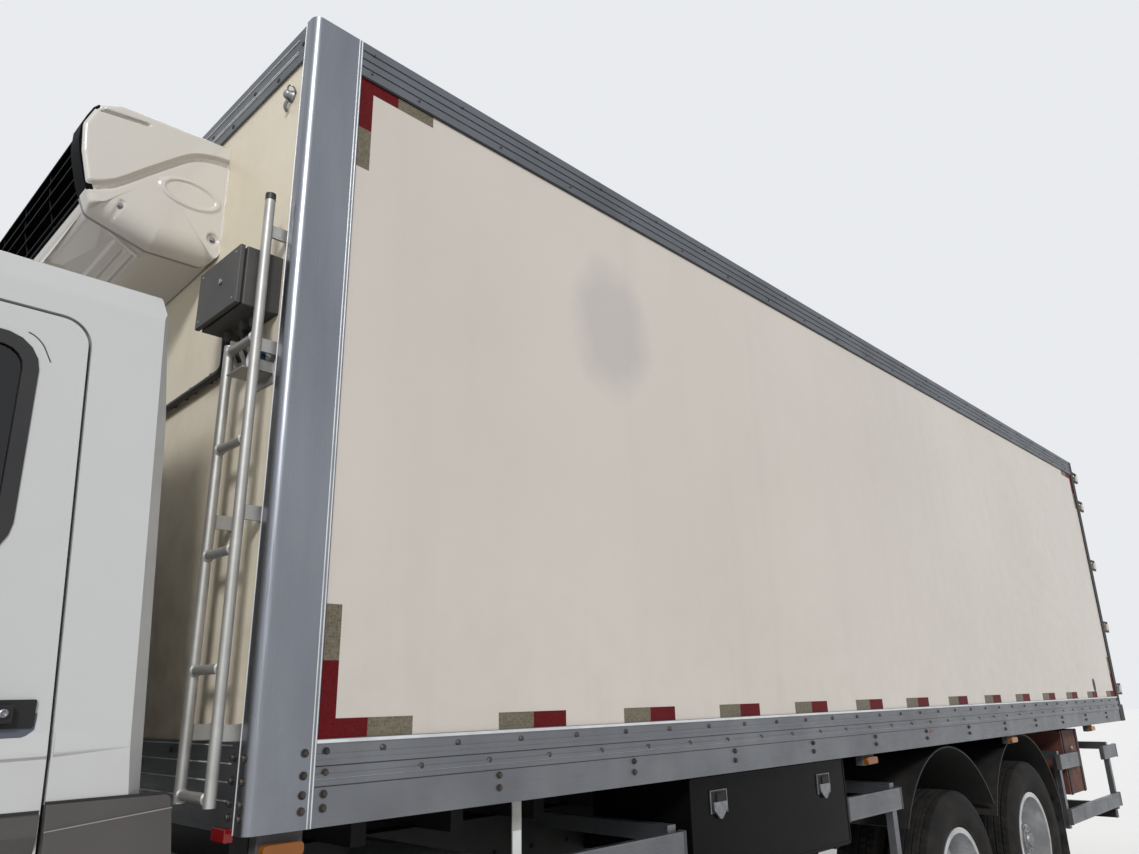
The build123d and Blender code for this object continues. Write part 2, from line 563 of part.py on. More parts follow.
knuckle += span((FRONT_AXLE_X - 50, FRONT_AXLE_X + 50), (KINGPIN_Y + 60, KINGPIN_Y + 68), (TYRE_R - 100, TYRE_R + 100))
knuckle += rod((FRONT_AXLE_X, KINGPIN_Y + 60, TYRE_R), (FRONT_AXLE_X, FRONT_WHEEL_Y + 55, TYRE_R), SPINDLE_R)
knuckle += span((ARM_X, FRONT_AXLE_X - 30), (KINGPIN_Y - ARM_HALF, KINGPIN_Y + ARM_HALF), ARM_Z)
knuckle += rod((ARM_X, KINGPIN_Y, ARM_Z[0]), (ARM_X, KINGPIN_Y, ARM_Z[1]), ARM_HALF)
knuckle += rod((ARM_X, KINGPIN_Y, ARM_Z[0] - BALL_LONG), (ARM_X, KINGPIN_Y, ARM_Z[0]), STEER_BALL_R)
keep("knuckle_left", knuckle)
keep("knuckle_right", mirrored(knuckle))
track_rod = rod((ARM_X, -KINGPIN_Y, ROD_Z), (ARM_X, KINGPIN_Y, ROD_Z), STEER_ROD_R)
for side, fit in ((1, SPINDLE_FIT), (-1, STEER_BALL_FIT)):
    eye_y = side * KINGPIN_Y
    track_rod += rod((ARM_X, eye_y, ROD_Z - ROD_EYE_HALF), (ARM_X, eye_y, ROD_Z + ROD_EYE_HALF), ROD_EYE_R)
    track_rod -= rod((ARM_X, eye_y, ROD_Z - 30), (ARM_X, eye_y, ROD_Z + 30), STEER_BALL_R + fit)
keep("track_rod", track_rod)

# Cab: an envelope from side, plan and front outlines, split into its panels
CHEEK = 0.73 * CAB_HALF         # where the nose's plan turns towards its corners
BROW = 0.285 * CAB_HALF
CAB_SIDE = [(CAB_FRONT_X - 12, CAB_NOSE_BOTTOM, 20), (CAB_FRONT_X, 1350, 800), (CAB_FRONT_X - 22, 1760, 150),
            (CAB_FRONT_X - 190, 2500, 160), (CAB_FRONT_X - 400, 2690, 300), (CAB_REAR_X + CAB_REAR_LEAN, 2700, 40),
            (CAB_REAR_X + CAB_REAR_BEND[0], CAB_REAR_BEND[1], 600), (CAB_REAR_X, CAB_SILL, 0),
            (NOSE_BACK_X, CAB_SILL, 0), (NOSE_BACK_X, CAB_NOSE_BOTTOM, 0)]
CAB_PLAN = [(CAB_REAR_X, -CAB_HALF, 40), (CAB_FRONT_X - 130, -CAB_HALF, 230), (CAB_FRONT_X - 35, -CHEEK, 500),
            (CAB_FRONT_X, -BROW, 1500), (CAB_FRONT_X, BROW, 1500), (CAB_FRONT_X - 35, CHEEK, 500),
            (CAB_FRONT_X - 130, CAB_HALF, 230), (CAB_REAR_X, CAB_HALF, 40)]
crease_y, edge_y = CAB_HALF - CAB_CREASE[0], CAB_HALF - CAB_EDGE[0]
CAB_BREADTH = [(-CAB_HALF + 15, CAB_NOSE_BOTTOM, 0), (-CAB_HALF, 1500, 900), (-crease_y, CAB_CREASE[1], 60),
               (-edge_y, CAB_EDGE[1], 45), (0, CAB_ROOF, 3000), (edge_y, CAB_EDGE[1], 45),
               (crease_y, CAB_CREASE[1], 60), (CAB_HALF, 1500, 900), (CAB_HALF - 15, CAB_NOSE_BOTTOM, 0)]
ACROSS = (-CAB_HALF - 200, CAB_HALF + 200)      # wider, longer and taller than the cab
AHEAD = (CAB_REAR_X - 150, FRONT_X + 150)
UPRIGHT = (CAB_NOSE_BOTTOM - 200, 2900)


def envelope(depth):
    """The cab's outer form, moved inward by depth on every side but its underside."""
    def moved(corners, floor):
        """Corners inset by depth, with those of the underside dropped so that it stays open."""
        if not depth:
            return outline(corners)
        return outline(inset([(a, b - depth * 1.5 if b <= floor else b, r) for a, b, r in corners], depth))

    plan = outline(inset(CAB_PLAN, depth)) if depth else outline(CAB_PLAN)
    return (along_y(moved(CAB_SIDE, CAB_SILL), *ACROSS) & along_z(plan, *UPRIGHT)
            & along_x(moved(CAB_BREADTH, CAB_NOSE_BOTTOM), *AHEAD))


DOOR_TOP = 2510.0
DOOR_PIN_LINE = CAB_FRONT_X - DOOR_BACK
DOOR_LINE = [(CAB_REAR_X + 213, CAB_SILL - 5, 0), (CAB_REAR_X + 266, DOOR_TOP, 65), (CAB_FRONT_X - 445, DOOR_TOP, 60),
             (DOOR_PIN_LINE, 1760, 200), (DOOR_PIN_LINE, CAB_SILL - 5, 0)]
WINDOW_LINE = [(CAB_REAR_X + 382, 2421, 65), (CAB_REAR_X + 380, 1965, 80), (CAB_REAR_X + 545, 1735, 90),
               (CAB_FRONT_X - 350, 1690, 70), (CAB_FRONT_X - 490, 2421, 60)]
SCREEN_LINE = [(140 - CAB_HALF, 1800, 70), (190 - CAB_HALF, 2450, 90), (CAB_HALF - 190, 2450, 90),
               (CAB_HALF - 140, 1800, 70)]
DOOR_IN_Y = CAB_HALF - 170.0

# The rear corners are cut off by planes that lean with the back wall and the flanks
low_cut = Vector(CAB_REAR_X + CAB_REAR_CHAMFER, CAB_HALF, CAB_SILL)
high_cut = Vector(CAB_REAR_X + CAB_REAR_CHAMFER + CAB_REAR_BEND[0], CAB_HALF - 35, CAB_REAR_BEND[1])
along_cut = Vector(-1, -1, 0)
cut_face = Plane(origin=low_cut, x_dir=along_cut, z_dir=along_cut.cross(high_cut - low_cut))
corner_cut = cut_face * Box(600, 5000, 300, align=(Align.CENTER, Align.CENTER, Align.MIN))

outer = envelope(0) - corner_cut - mirrored(corner_cut)
inner = envelope(CAB_WALL)
skin = outer - inner
FLOOR_STEP_X = NOSE_BACK_X + 45
FLOOR_FRONT_X = CAB_FRONT_X - 40
FOOTWELL = CAB_SILL - 100
floor_line = [(CAB_REAR_X, CAB_SILL, 0), (NOSE_BACK_X, CAB_SILL, 0), (NOSE_BACK_X, FOOTWELL, 0),
              (FLOOR_FRONT_X, FOOTWELL, 0), (FLOOR_FRONT_X, FOOTWELL + CAB_FLOOR_THICK, 0),
              (FLOOR_STEP_X, FOOTWELL + CAB_FLOOR_THICK, 0), (FLOOR_STEP_X, CAB_SILL + CAB_FLOOR_THICK, 0),
              (CAB_REAR_X, CAB_SILL + CAB_FLOOR_THICK, 0)]
tunnel_in = TUNNEL_HALF - CAB_FLOOR_THICK
shell = skin + (along_y(outline(floor_line), *ACROSS) & outer)
shell += span((CAB_REAR_X + 5, TUNNEL_FRONT_X), (-TUNNEL_HALF, TUNNEL_HALF), (CAB_SILL, TUNNEL_TOP)) & outer
shell -= span((CAB_REAR_X - 5, TUNNEL_FRONT_X - CAB_FLOOR_THICK), (-tunnel_in, tunnel_in),
              (CAB_SILL - 10, TUNNEL_TOP - CAB_FLOOR_THICK))
lip_cut = along_z(outline(inset(CAB_PLAN, NOSE_LIP)), CAB_NOSE_BOTTOM - 20, CAB_NOSE_BOTTOM + 60)
shell -= lip_cut & span((NOSE_BACK_X + 40, FRONT_X), ACROSS, UPRIGHT)
doorway = along_y(outline(inset(DOOR_LINE, -CAB_GAP)), DOOR_IN_Y, ACROSS[1])
shell -= doorway
shell -= mirrored(doorway)
shell -= along_x(outline(SCREEN_LINE), NOSE_BACK_X, AHEAD[1])
skirt = along_y(outline([(CAB_REAR_X - SKIRT_BACK, CAB_SILL + 5, 0), (CAB_REAR_X - SKIRT_BACK + 15, SKIRT_TOP, 15),
                         (CAB_REAR_X + 200, SKIRT_TOP, 0), (CAB_REAR_X + 200, CAB_SILL + 5, 0)]),
                CAB_HALF - 45, CAB_HALF + SKIRT_OUT)
shell += skirt
shell += mirrored(skirt)
nose_zone = span((DOOR_PIN_LINE + 13, AHEAD[1]), ACROSS, (800, 1785))
cab_front = shell & nose_zone
GRILLE_Y = 0.585 * CAB_HALF
GRILLE_Z = (1320.0, 1680.0)
GRILLE_DEEP = 18.0
GRILLE_BARS = 6
GRILLE_BAR = 22.0
recess = span((CAB_FRONT_X - 120, FRONT_X), (-GRILLE_Y, GRILLE_Y), GRILLE_Z) - envelope(GRILLE_DEEP)
bar_pitch = (GRILLE_Z[1] - GRILLE_Z[0]) / (GRILLE_BARS + 1)
for index in range(GRILLE_BARS):
    middle = GRILLE_Z[0] + (index + 1) * bar_pitch
    recess -= span((CAB_FRONT_X - 130, FRONT_X), (-GRILLE_Y, GRILLE_Y), (middle - GRILLE_BAR / 2, middle + GRILLE_BAR / 2))
cab_front -= recess
cab_shell = shell - nose_zone
window = along_y(outline(WINDOW_LINE), 1000, ACROSS[1])
cab_door = (skin & along_y(outline(DOOR_LINE), DOOR_IN_Y, ACROSS[1])) - window
panes = envelope(GLASS_INSET) - envelope(GLASS_INSET + GLASS_THICK)
lug_y = (TILT_EYE_Y[0] - 45, TILT_EYE_Y[0] - 5)
lug = span((CAB_TILT_X - 30, CAB_TILT_X + 30), lug_y, (CAB_TILT_Z, FOOTWELL + 5))
lug += rod((CAB_TILT_X, lug_y[0], CAB_TILT_Z), (CAB_TILT_X, lug_y[1], CAB_TILT_Z), 30)
lug += rod((CAB_TILT_X, lug_y[0], CAB_TILT_Z), (CAB_TILT_X, TILT_EYE_Y[1], CAB_TILT_Z), TILT_PIN_R)
cab_front += lug
cab_front += mirrored(lug)
DOOR_PIN_X = DOOR_PIN_LINE - DOOR_PIN_BACK
DOOR_PIN_Y = CAB_HALF - DOOR_PIN_IN
for height in DOOR_HINGE_Z:
    notch = span((DOOR_PIN_X - 12, DOOR_PIN_X + 20), (DOOR_PIN_Y - 12, DOOR_PIN_Y + 20), (height - 17, height + 17))
    pin = ((DOOR_PIN_X, DOOR_PIN_Y, height - 45), (DOOR_PIN_X, DOOR_PIN_Y, height + 45))
    cab_door += rod(*pin, 9)
    cab_door -= notch
    cab_door -= rod(*pin, DOOR_PIN_R + SPINDLE_FIT)
    bracket = span((DOOR_PIN_X - 4, DOOR_PIN_X + 24), (DOOR_PIN_Y - 6, DOOR_PIN_Y + 3), (height - 12, height + 12))
    bracket += rod(*pin, DOOR_PIN_R)
    cab_shell += bracket
    cab_shell += mirrored(bracket)
HANDLE_X = (CAB_REAR_X + 260, CAB_REAR_X + 460)
HANDLE_Z = (1545.0, 1603.0)
handle = span(HANDLE_X, (CAB_HALF - 20, CAB_HALF + 2), HANDLE_Z)
for x in (HANDLE_X[0] + 53, HANDLE_X[1] - 37):
    handle += span((x, x + 20), (CAB_HALF, CAB_HALF + 12), (HANDLE_Z[0] + 17, HANDLE_Z[1] - 17))
cab_door += handle + span((HANDLE_X[0] + 47, HANDLE_X[1] - 10), (CAB_HALF + 11, CAB_HALF + 22),
                          (HANDLE_Z[0] + 11, HANDLE_Z[1] - 11))
keep("cab_shell", cab_shell)
keep("cab_front", cab_front)
keep("windscreen", panes & along_x(outline(inset(SCREEN_LINE, 0.5)), NOSE_BACK_X, AHEAD[1]))
keep("cab_door_left", cab_door)
keep("cab_door_right", mirrored(cab_door))
door_glass = panes & along_y(outline(inset(WINDOW_LINE, 0.5)), 1000, ACROSS[1])
keep("door_glass_left", door_glass)
keep("door_glass_right", mirrored(door_glass))

MIRROR_X = FRONT_X - 350.0
MIRROR_Y = CAB_HALF + 100.0
MIRROR_ARM_R = 12.0
wing = rod((MIRROR_X, MIRROR_Y, 1610), (MIRROR_X, MIRROR_Y, 2470), 16)
wing += rod((MIRROR_X - 140, CAB_HALF - 60, 2440), (MIRROR_X, MIRROR_Y, 2440), MIRROR_ARM_R)
wing += rod((MIRROR_X, CAB_HALF - 25, 1640), (MIRROR_X, MIRROR_Y, 1640), MIRROR_ARM_R)
mirror_plan = outline([(MIRROR_X - 45, MIRROR_Y - 75, 20), (MIRROR_X + 55, MIRROR_Y - 75, 45),
                       (MIRROR_X + 55, MIRROR_Y + 125, 45), (MIRROR_X - 45, MIRROR_Y + 125, 20)])
wing = (wing + along_z(mirror_plan, 1740, 2330)) - cab_door
keep("mirror_left", wing)
keep("mirror_right", mirrored(wing))

SEAT_X = FRONT_X - 1450.0       # front of the seat's foot
SEAT_Y = CAB_HALF - 400.0
seats = []
for y in (-SEAT_Y, SEAT_Y):
    seat = span((SEAT_X, SEAT_X + 450), (y - 200, y + 200), (CAB_SILL + CAB_FLOOR_THICK, 1560))
    seat += span((SEAT_X - 50, SEAT_X + 480), (y - 240, y + 240), (1560, 1690))
    seats.append(seat + Pos(SEAT_X - 70, y, 1960) * Rot(0, -10, 0) * Box(130, 470, 640))
WHEEL_SPOT = (FRONT_X - 590, SEAT_Y - 110, 1760)
WHEEL_LEAN = -56.0
dash = span((FRONT_X - 400, FRONT_X - 20), (110 - CAB_HALF, CAB_HALF - 110), (1570, 1690)) & inner
dash += rod((FRONT_X - 350, WHEEL_SPOT[1], 1600), WHEEL_SPOT, 35)
dash += Pos(*WHEEL_SPOT) * Rot(0, WHEEL_LEAN, 0) * Torus(225, 16)
dash += Pos(*WHEEL_SPOT) * Rot(0, WHEEL_LEAN, 0) * Box(60, 440, 14)
keep("cab_interior", seats, dash)

# Bumper, tow brackets, steps and mudguards on the frame
BUMPER_Z = (400.0, 860.0)
BUMPER_WALL = 60.0
BUMPER_BEVEL = 50.0
LAMP_Y = (CAB_HALF - 470.0, CAB_HALF - 80.0)
LAMP_Z = (600.0, 780.0)
LAMP_DEEP = 25.0
STEP_BACK = 670.0               # steps ahead of the front axle
STEP_X = (FRONT_AXLE_X + STEP_BACK, FRONT_AXLE_X + STEP_BACK + 350)
bumper_plan = [(STEP_X[0] - 40, -CAB_HALF, 60), (CAB_FRONT_X - 115, -CAB_HALF, 230), (CAB_FRONT_X - 20, -CHEEK, 500),
               (FRONT_X, -BROW, 1500), (FRONT_X, BROW, 1500), (CAB_FRONT_X - 20, CHEEK, 500),
               (CAB_FRONT_X - 115, CAB_HALF, 230), (STEP_X[0] - 40, CAB_HALF, 60)]
bumper_shoulder = BUMPER_Z[1] - BUMPER_BEVEL
bumper = along_z(outline(bumper_plan), BUMPER_Z[0], bumper_shoulder)
bumper += extrude(Pos(0, 0, bumper_shoulder) * outline(bumper_plan), amount=BUMPER_BEVEL, taper=45)
bumper -= along_z(outline(inset(bumper_plan, BUMPER_WALL)), BUMPER_Z[0] - 10, BUMPER_Z[1] + 10)
bumper -= span((STEP_X[0] - 140, STEP_X[1] + 8), ACROSS, (BUMPER_Z[0] - 10, BUMPER_Z[1] + 10))
lamp_form = along_z(outline(inset(bumper_plan, -3)), *BUMPER_Z)
lamp_form -= along_z(outline(inset(bumper_plan, LAMP_DEEP)), *BUMPER_Z)
lamp = span((FRONT_X - 200, FRONT_X + 50), LAMP_Y, LAMP_Z) & lamp_form
bumper -= lamp
bumper -= mirrored(lamp)
keep("bumper", bumper)
keep("head_lamps", both(lamp))
TOW_R = 17.0
TOW_DEEP = 80.0
TOW_Y = (RAIL_OUT, RAIL_OUT + 60)
TOW_Z = 355.0
TOW_FACE_X = FRONT_X - 20.0
bracket_back = RAIL_FRONT_X - 120
bracket = span((bracket_back, RAIL_FRONT_X), (RAIL_OUT, RAIL_OUT + 40), (310, 900))
bracket += span((bracket_back, TOW_FACE_X - 15), TOW_Y, (520, 700))
bracket -= bumper
bracket += span((bracket_back, TOW_FACE_X), TOW_Y, (310, BUMPER_Z[0]))
tow_y = (TOW_Y[0] + TOW_Y[1]) / 2
bracket -= rod((TOW_FACE_X - TOW_DEEP, tow_y, TOW_Z), (TOW_FACE_X + 10, tow_y, TOW_Z), TOW_R)
keep("tow_brackets", both(bracket))

STEP_IN_Y = RAIL_OUT + 300
step = span(STEP_X, (STEP_IN_Y, CAB_HALF - 15), (400, 1230))
for low in (470, 850):
    step -= span((STEP_X[0] + 25, STEP_X[1] - 25), (CAB_HALF - 260, CAB_HALF), (low, low + 300))
step += span((STEP_X[0] + 10, STEP_X[0] + 70), (RAIL_OUT, STEP_IN_Y + 1), (800, 860))
keep("cab_steps", both(step))

rear_reach = (AXLE_PITCH - MUDGUARD_GAP) / 2
guards = []
for centre_x, centre_z, radius, reach, inside, outside, stays in (
        (FRONT_AXLE_X, 580.0, 650.0, 643.0, FRONT_WHEEL_Y - 180, CAB_HALF - 10, (150,)),
        (DRIVE_AXLE_X, TYRE_R, 742.0, rear_reach, TWIN_INNER_Y - 142, SIDE_Y - 5, (33, 147)),
        (TAG_AXLE_X, TAG_Z, 680.0, rear_reach, TWIN_INNER_Y - 142, SIDE_Y - 5, (28, 152))):
    start = math.degrees(math.acos(reach / radius))
    arch = ring((centre_x, centre_z), radius, radius + MUDGUARD_SHEET, start, 180 - start, inside, outside)
    for angle in stays:
        middle = radius + MUDGUARD_SHEET / 2
        x = centre_x + middle * math.cos(math.radians(angle))
        z = centre_z + middle * math.sin(math.radians(angle))
        arch += rod((x, RAIL_OUT, z), (x, inside + 10, z), MUDGUARD_STAY_R)
    guards += both(arch)
keep("mudguards", guards)

# Side guards, toolbox, tanks, cabinet, rear underrun
GUARD_GROUPS = (                # boards (x low, x high, z low) and posts (x, z low)
    (((station(0.503), station(0.703), 980), (station(0.503), station(0.703), 590)),
     ((station(0.507), 560), (station(0.681), 560))),
    (((DRIVE_AXLE_X + 700, station(0.249), 980),), ((DRIVE_AXLE_X + 720, 760),)),
    (((REAR_X + 470, REAR_X + 1930, 590), (REAR_X + 1480, REAR_X + 1970, 980), (REAR_X + 300, REAR_X + 730, 980)),
     ((REAR_X + 1880, 560), (REAR_X + 450, 560))),
)
POST_Y = (SIDE_Y - GUARD_THICK - GUARD_POST, SIDE_Y - GUARD_THICK)
guard_solids = []
for boards, posts in GUARD_GROUPS:
    pieces = [span((x0, x1), (SIDE_Y - GUARD_THICK, SIDE_Y), (z0, z0 + GUARD_TALL)) for x0, x1, z0 in boards]
    for x, z0 in posts:
        pieces.append(span((x, x + GUARD_POST_WIDE), POST_Y, (z0, GUARD_ARM_Z[1])))
        pieces.append(span((x, x + GUARD_POST_WIDE), (RAIL_OUT, POST_Y[1]), GUARD_ARM_Z))
    group = pieces[0]
    for piece in pieces[1:]:
        group += piece
    guard_solids += both(group)
keep("side_guards", guard_solids)

TOOLBOX_X = (station(0.2515), station(0.4952))
TOOLBOX_Y = (SIDE_Y - TOOLBOX_DEEP, SIDE_Y - LID_THICK)
LID_PIN_Y = SIDE_Y - LID_THICK / 2
LID_PIN_Z = TOOLBOX_Z[0] + 4
toolbox = span(TOOLBOX_X, TOOLBOX_Y, TOOLBOX_Z)
toolbox -= span((TOOLBOX_X[0] + TOOLBOX_SHEET, TOOLBOX_X[1] - TOOLBOX_SHEET), (TOOLBOX_Y[0] + TOOLBOX_SHEET, SIDE_Y),
                (TOOLBOX_Z[0] + TOOLBOX_SHEET, TOOLBOX_Z[1] - TOOLBOX_SHEET))
for x in (TOOLBOX_X[0] + 230, TOOLBOX_X[1] - 290):
    toolbox += span((x, x + 60), (RAIL_OUT, TOOLBOX_Y[0]), (920, 980))
lid = span(TOOLBOX_X, (TOOLBOX_Y[1] + LID_GAP, SIDE_Y), (LID_PIN_Z + 4, TOOLBOX_Z[1]))
for x in (TOOLBOX_X[0] + 140, (TOOLBOX_X[0] + TOOLBOX_X[1]) / 2, TOOLBOX_X[1] - 140):
    toolbox += rod((x - 26, LID_PIN_Y, LID_PIN_Z), (x + 26, LID_PIN_Y, LID_PIN_Z), LID_PIN_R)
    for edge in (x - 26, x + 18):
        toolbox += span((edge, edge + 8), (TOOLBOX_Y[1] - 8, LID_PIN_Y), (TOOLBOX_Z[0], LID_PIN_Z + 3))
    lid += rod((x - 16, LID_PIN_Y, LID_PIN_Z), (x + 16, LID_PIN_Y, LID_PIN_Z), LID_KNUCKLE_R)
    lid -= rod((x - 27, LID_PIN_Y, LID_PIN_Z), (x + 27, LID_PIN_Y, LID_PIN_Z), LID_PIN_R + SPINDLE_FIT)
for x in (TOOLBOX_X[0] + 220, TOOLBOX_X[1] - 190):
    lid += span((x - 55, x + 55), (SIDE_Y, SIDE_Y + 4), (TOOLBOX_Z[1] - 140, TOOLBOX_Z[1] - 56))
    lid += span((x - 18, x + 18), (SIDE_Y + 4, SIDE_Y + 12), (TOOLBOX_Z[1] - 128, TOOLBOX_Z[1] - 68))
keep("toolbox", toolbox)
keep("toolbox_lid", lid)

TANK_X = (station(0.52), station(0.678))
TANK_Y = (RAIL_OUT + 75, SIDE_Y - 85)
tank = along_x(outline([(TANK_Y[0], 560, 90), (TANK_Y[1], 560, 90), (TANK_Y[1], 1040, 90), (TANK_Y[0], 1040, 90)]),
               *TANK_X)
for x in (TANK_X[0] + 90, TANK_X[1] - 150):
    tank += span((x, x + 60), (RAIL_OUT, TANK_Y[0] + 1), (760, 860))
keep("fuel_tank", mirrored(tank))
BATTERY_X = (station(0.257), station(0.41))
BATTERY_Y = (RAIL_OUT + 135, SIDE_Y - 45)
battery = span(BATTERY_X, BATTERY_Y, (640, 1040))
for x in (BATTERY_X[0] + 100, BATTERY_X[1] - 160):
    battery += span((x, x + 60), (RAIL_OUT, BATTERY_Y[0] + 1), (860, 960))
keep("battery_box", mirrored(battery))
CABINET_Y = (SIDE_Y - 465, SIDE_Y - 40)
cabinet = span((REAR_X + 1270, REAR_X + 1720), CABINET_Y, (780, 1250))
cabinet += span((REAR_X + 1450, REAR_X + 1510), (RAIL_OUT, CABINET_Y[0] + 1), (900, 980))
keep("side_cabinet", cabinet)
underrun = span((REAR_X + 360, REAR_X + 420), (150 - HALF, HALF - 150), (480, 600))
for side in SIDES:
    underrun += span((REAR_X + 370, REAR_X + 420), (side * 330, side * 420), (600, RAIL_BOTTOM))
keep("underrun", underrun)
lamp_x = BOX_REAR_X - SILL_STEP
keep("rear_lamps", both(span((lamp_x - 15, lamp_x), (HALF - 370, HALF - 70), (BOX_BOTTOM + 30, BOX_BOTTOM + 110))))

# Cooling unit with its louvre, evaporator, ladder and electric box on the front wall
UNIT_HALF = 700.0
UNIT_CAP = 60.0                 # end caps beside the louvre
LOUVRE_DEEP = 45.0
LOUVRE_BARS = 5
BAR_TALL = 16.0
UNIT_SIDE = [(FRONT_FACE, BOX_TOP - 195, 20), (FRONT_FACE + 375, BOX_TOP - 212, 60),
             (FRONT_FACE + 447, BOX_TOP - 247, 45), (FRONT_FACE + 480, BOX_TOP - 335, 60),
             (FRONT_FACE + 470, BOX_TOP - 435, 100), (FRONT_FACE + 437, BOX_TOP - 565, 15),
             (FRONT_FACE + 415, BOX_TOP - 617, 30), (FRONT_FACE + 215, BOX_TOP - 675, 60),
             (FRONT_FACE, BOX_TOP - 670, 0)]
louvre_y = (UNIT_CAP - UNIT_HALF, UNIT_HALF - UNIT_CAP)
LOUVRE_Z = (BOX_TOP - 545, BOX_TOP - 275)
unit = along_y(outline(UNIT_SIDE), -UNIT_HALF, UNIT_HALF)
pocket = along_y(outline(UNIT_SIDE), *louvre_y) - along_y(outline(inset(UNIT_SIDE, LOUVRE_DEEP)), *louvre_y)
pocket = pocket & span((FRONT_FACE + 330, FRONT_FACE + 600), louvre_y, LOUVRE_Z)
bar_pitch = (LOUVRE_Z[1] - LOUVRE_Z[0]) / (LOUVRE_BARS + 1)
for index in range(LOUVRE_BARS):
    middle = LOUVRE_Z[0] + (index + 1) * bar_pitch
    pocket -= span((FRONT_FACE + 330, FRONT_FACE + 600), louvre_y, (middle - BAR_TALL / 2, middle + BAR_TALL / 2))
keep("fridge_housing", unit - pocket)
keep("evaporator", span((WALL_FRONT_X - 500, WALL_FRONT_X), (-650, 650), (BOX_TOP - 435, ROOF_BOTTOM)))

LADDER_X = FRONT_FACE + 70
LADDER_OUT_Y = HALF - 78
LADDER_IN_Y = HALF - 258
LADDER_LOW = BOX_BOTTOM + 65
LADDER_OUT_TOP = BOX_TOP - 675
LADDER_IN_TOP = BOX_TOP - 1120
LADDER_R = 15.0
RUNG_R = 13.0
RUNGS = 5
BRACKETS_UP = (0.135, 0.579, 0.965)             # shares of the inner rail's height
ladder = rod((LADDER_X, LADDER_OUT_Y, LADDER_LOW), (LADDER_X, LADDER_OUT_Y, LADDER_OUT_TOP), LADDER_R)
ladder += rod((LADDER_X, LADDER_IN_Y, LADDER_LOW), (LADDER_X, LADDER_IN_Y, LADDER_IN_TOP), LADDER_R)
rung_low, rung_high = LADDER_LOW + 20, LADDER_IN_TOP - 20
for index in range(RUNGS):
    height = rung_low + (rung_high - rung_low) * index / (RUNGS - 1)
    ladder += rod((LADDER_X, LADDER_IN_Y, height), (LADDER_X, LADDER_OUT_Y, height), RUNG_R)
bracket_spots = [(y, LADDER_LOW + share * (LADDER_IN_TOP - LADDER_LOW)) for share in BRACKETS_UP
                 for y in (LADDER_IN_Y, LADDER_OUT_Y)]
for y, height in bracket_spots + [(LADDER_OUT_Y, BOX_TOP - 795)]:
    ladder += span((FRONT_FACE, LADDER_X), (y - 4, y + 4), (height - 20, height + 20))
keep("ladder", ladder)
SWITCH_DEEP = 135.0
SWITCH_SPLIT = 113.0            # the door's shadow gap starts this far from the wall
switch_y, switch_z = (HALF - 380, HALF - 100), (BOX_TOP - 1045, BOX_TOP - 855)
switch_box = span((FRONT_FACE, FRONT_FACE + SWITCH_DEEP), switch_y, switch_z)
gap = span((FRONT_FACE + SWITCH_SPLIT, FRONT_FACE + SWITCH_SPLIT + 6), switch_y, switch_z)
switch_box -= gap - span((FRONT_FACE, FRONT_FACE + SWITCH_DEEP), (switch_y[0] + 8, switch_y[1] - 8),
                         (switch_z[0] + 8, switch_z[1] - 8))
keep("electric_box", switch_box)

os.makedirs("parts", exist_ok=True)
for name, shape in parts.items():
    export_step(shape, "parts/" + name + ".step")
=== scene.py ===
"""Looks for a refrigerated truck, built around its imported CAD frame.

Metres; +X is forward, +Y the truck's left, +Z up, with the ground at z = 0.
"""

import json
import logging
import math
from dataclasses import dataclass
from enum import Enum
from typing import Any, Callable, Iterable, Sequence

import bpy
import numpy as np
from mathutils import Matrix, Vector
from mathutils.bvhtree import BVHTree

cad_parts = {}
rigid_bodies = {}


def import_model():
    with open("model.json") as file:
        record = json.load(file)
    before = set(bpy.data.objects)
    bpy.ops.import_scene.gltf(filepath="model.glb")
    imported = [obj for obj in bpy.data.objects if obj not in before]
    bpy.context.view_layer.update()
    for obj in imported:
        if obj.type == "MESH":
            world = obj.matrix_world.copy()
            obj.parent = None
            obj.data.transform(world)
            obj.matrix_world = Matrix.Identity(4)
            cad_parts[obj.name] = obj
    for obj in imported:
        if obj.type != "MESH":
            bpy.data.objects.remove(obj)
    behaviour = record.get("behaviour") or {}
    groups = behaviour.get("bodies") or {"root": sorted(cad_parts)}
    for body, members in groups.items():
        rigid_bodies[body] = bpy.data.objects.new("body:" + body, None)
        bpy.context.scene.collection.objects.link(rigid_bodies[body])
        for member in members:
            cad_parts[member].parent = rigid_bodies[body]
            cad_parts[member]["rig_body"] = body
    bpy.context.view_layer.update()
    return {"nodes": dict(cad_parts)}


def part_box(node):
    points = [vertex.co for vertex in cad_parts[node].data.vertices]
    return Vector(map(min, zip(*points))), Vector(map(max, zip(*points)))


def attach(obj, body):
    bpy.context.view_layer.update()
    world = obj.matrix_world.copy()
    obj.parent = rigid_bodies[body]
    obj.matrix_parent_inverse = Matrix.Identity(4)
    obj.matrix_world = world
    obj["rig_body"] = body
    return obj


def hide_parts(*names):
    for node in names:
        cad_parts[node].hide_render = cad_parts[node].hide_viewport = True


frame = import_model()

logging.basicConfig(level=logging.INFO, format="%(message)s")
log = logging.getLogger("truck")

Triple = tuple[float, float, float]
Pair = tuple[float, float]
Triples = tuple[Triple, ...]
Pairs = tuple[Pair, ...]
Floats = tuple[float, ...]
MM = 0.001
TURN = 2 * math.pi
SIDES = (("left", 1), ("right", -1))


# Meshes


